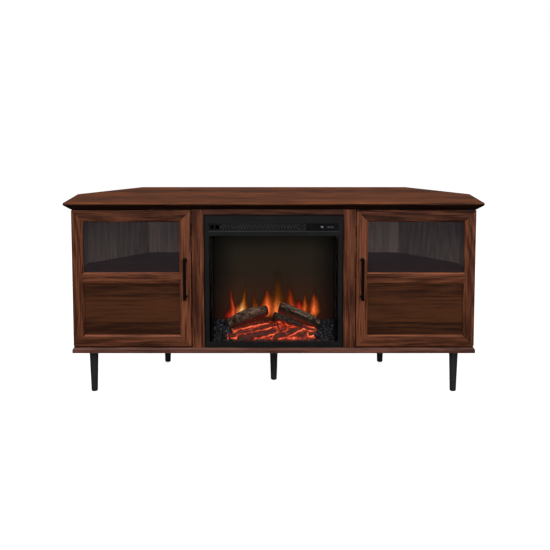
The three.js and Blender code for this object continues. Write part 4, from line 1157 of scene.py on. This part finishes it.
def circle(radius):
    angles = [2 * math.pi * side / SCREW_SIDES for side in range(SCREW_SIDES)]
    return [(radius * math.cos(angle), radius * math.sin(angle)) for angle in angles]


def screw_head(shape, place):
    """A domed screw head with a cross cut in it, standing on the back board."""
    turn = Vector(UP).rotation_difference(Vector(BACKWARDS)).to_matrix().to_4x4()
    here = Matrix.Translation(place) @ turn
    rings = [[shape.verts.new(here @ Vector((x, y, 0))) for x, y in circle(SCREW_RADIUS)]]
    shape.faces.new(list(reversed(rings[0])))
    for ring in range(SCREW_RINGS + 1):
        lean = math.pi / 2 * ring / SCREW_RINGS
        radius, rise = SCREW_RADIUS * math.cos(lean), SCREW_RISE * math.sin(lean)
        loop = []
        for x, y in circle(radius):
            sunk = min(abs(x), abs(y)) < SCREW_CROSS / 2 and 0 < ring and radius < SCREW_CROSS_REACH
            height = rise - (SCREW_CROSS if sunk else 0.0)
            loop.append(shape.verts.new(here @ Vector((x, y, max(height, SCREW_RIM)))))
        rings.append(loop)
    for lower, upper in zip(rings, rings[1:]):
        for side in range(SCREW_SIDES):
            after = (side + 1) % SCREW_SIDES
            shape.faces.new((lower[side], lower[after], upper[after], upper[side]))
    bmesh.ops.remove_doubles(shape, verts=rings[-1], dist=WELD_GAP)


def make_back_screws():
    low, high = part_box("back_panel")
    left, right = low.x + SCREW_INSET, high.x - SCREW_INSET
    bottom, top = low.z + SCREW_INSET, high.z - SCREW_INSET
    divider_low, divider_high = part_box("right_divider_panel")
    divider = (divider_low.x + divider_high.x) / 2
    spots = [(x, z) for x in np.linspace(left, right, BACK_COLUMNS) for z in (bottom, top)]
    for x in (left, -divider, divider, right):
        spots += [(x, bottom + (top - bottom) * share) for share in BACK_SHARES]
    shape = bmesh.new()
    for x, z in spots:
        screw_head(shape, Vector((x, high.y + SCREW_GAP, z)))
    new_piece(finished(shape, "back_screws"), M["steel"])


LIP_HALF = 214 * MM
LIP_LOW = 550.6 * MM
LIP_HEIGHT = 1.8 * MM
LIP_PROUD = 0.7 * MM  # in front of the bezel's face
LIP_STEPS = 8


def make_lip():
    """A half-round bead along the bezel, just under the outlet strip; its lighter bluish coat is a painted
    highlight.
    """
    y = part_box("insert_bezel")[0].y
    places = []
    for x in (-LIP_HALF, LIP_HALF):
        for step in range(LIP_STEPS + 1):
            turn = math.pi * step / LIP_STEPS
            rise = LIP_HEIGHT * (1 - math.cos(turn)) / 2
            places.append((x, y - LIP_PROUD * math.sin(turn), LIP_LOW + rise))
    ends = [tuple(reversed(range(LIP_STEPS + 1))), tuple(range(LIP_STEPS + 1, 2 * (LIP_STEPS + 1)))]
    mesh = mesh_of("outlet_lip", places, grid_faces(2, LIP_STEPS + 1, closed=True) + ends)
    new_piece(mesh, M["lip_black"])


# Stage and light

FLOOR_REACH = 30.0
FLOOR_BOUNCE = (0.04, 0.04, 0.04)
FLOOR_LIFT = 0.88
WORLD_LEVEL = 0.30
WORLD_SHEEN = 0.13
WHITE = (1.0, 1.0, 1.0)

# Each light's place, size and power, and whether glossy faces show it
LIGHTS = {
    "key": ((-1.3, -2.7, 2.3), (2.2, 1.6), 40, True),
    "fill": ((1.6, -2.8, 2.0), (2.0, 1.6), 25, True),
    "low": ((0.2, -3.2, 0.85), (2.6, 0.6), 24, False),
    "top": ((0, -0.2, 3.0), (2.6, 1.6), 9, False),
    "rim": ((0.4, 2.8, 2.0), (2.4, 1.2), 30, False),
}
LIGHTS_AIM = Vector((0, 0, 0.35))


def make_stage():
    """A floor that is white to the camera, and dim to everything else so that it throws little light up."""
    corners = [(x * FLOOR_REACH, y * FLOOR_REACH, 0) for x, y in ((-1, -1), (1, -1), (1, 1), (-1, 1))]
    mesh = mesh_of("floor", corners, [(0, 1, 2, 3)])
    floor = in_scene("floor", mesh)
    material, tree, shader = new_material("floor")
    output = shader.outputs[0].links[0].to_node
    grit = noise_at(object_place(tree), 3.0)
    tint = blended(grit, (0.50, 0.50, 0.50), (0.52, 0.52, 0.52))
    seen = node(tree, "LightPath").outputs["Is Camera Ray"]
    surface(shader, base=blended(seen, FLOOR_BOUNCE, tint), roughness=0.9, specular=0.0)
    lift = made_from("Emission", {"Color": WHITE, "Strength": times(seen, FLOOR_LIFT)})
    both = made_from("AddShader", {0: shader.outputs[0], 1: lift[0]})
    connect(output, {"Surface": both[0]})
    mesh.materials.append(material)


def make_world():
    world = bpy.data.worlds.new("world")
    bpy.context.scene.world = world
    world.use_nodes = True
    tree = world.node_tree
    tree.nodes.clear()
    path = node(tree, "LightPath").outputs
    strength = ranged(path["Is Glossy Ray"], 0.0, 1.0, WORLD_LEVEL, WORLD_SHEEN)
    strength = ranged(path["Is Camera Ray"], 0.0, 1.0, strength, 1.0)
    sky = made_from("Background", {"Color": WHITE, "Strength": strength})
    node(tree, "OutputWorld", {"Surface": sky[0]})


def make_lights():
    for name, (place, size, power, glints) in LIGHTS.items():
        data = bpy.data.lights.new(name, "AREA")
        data.shape = "RECTANGLE"
        data.size, data.size_y = size
        data.energy = power
        light = in_scene(name, data)
        light.location = place
        light.visible_glossy = glints
        light.rotation_euler = (LIGHTS_AIM - Vector(place)).to_track_quat("-Z", "Y").to_euler()


bpy.context.scene.view_settings.view_transform = "Standard"
make_camera()
dress_cabinet()
dress_insert()
make_logs()
make_ember_bed()
make_middle_log()
for hand, side in HANDS.items():
    make_coals(hand, side)
make_flames()
make_display()
make_back_screws()
make_lip()
for hand in HANDS:
    make_beads(hand, f"{hand}_door_glass")
    make_beads(hand, f"{hand}_door_panel")
make_stage()
make_world()
make_lights()
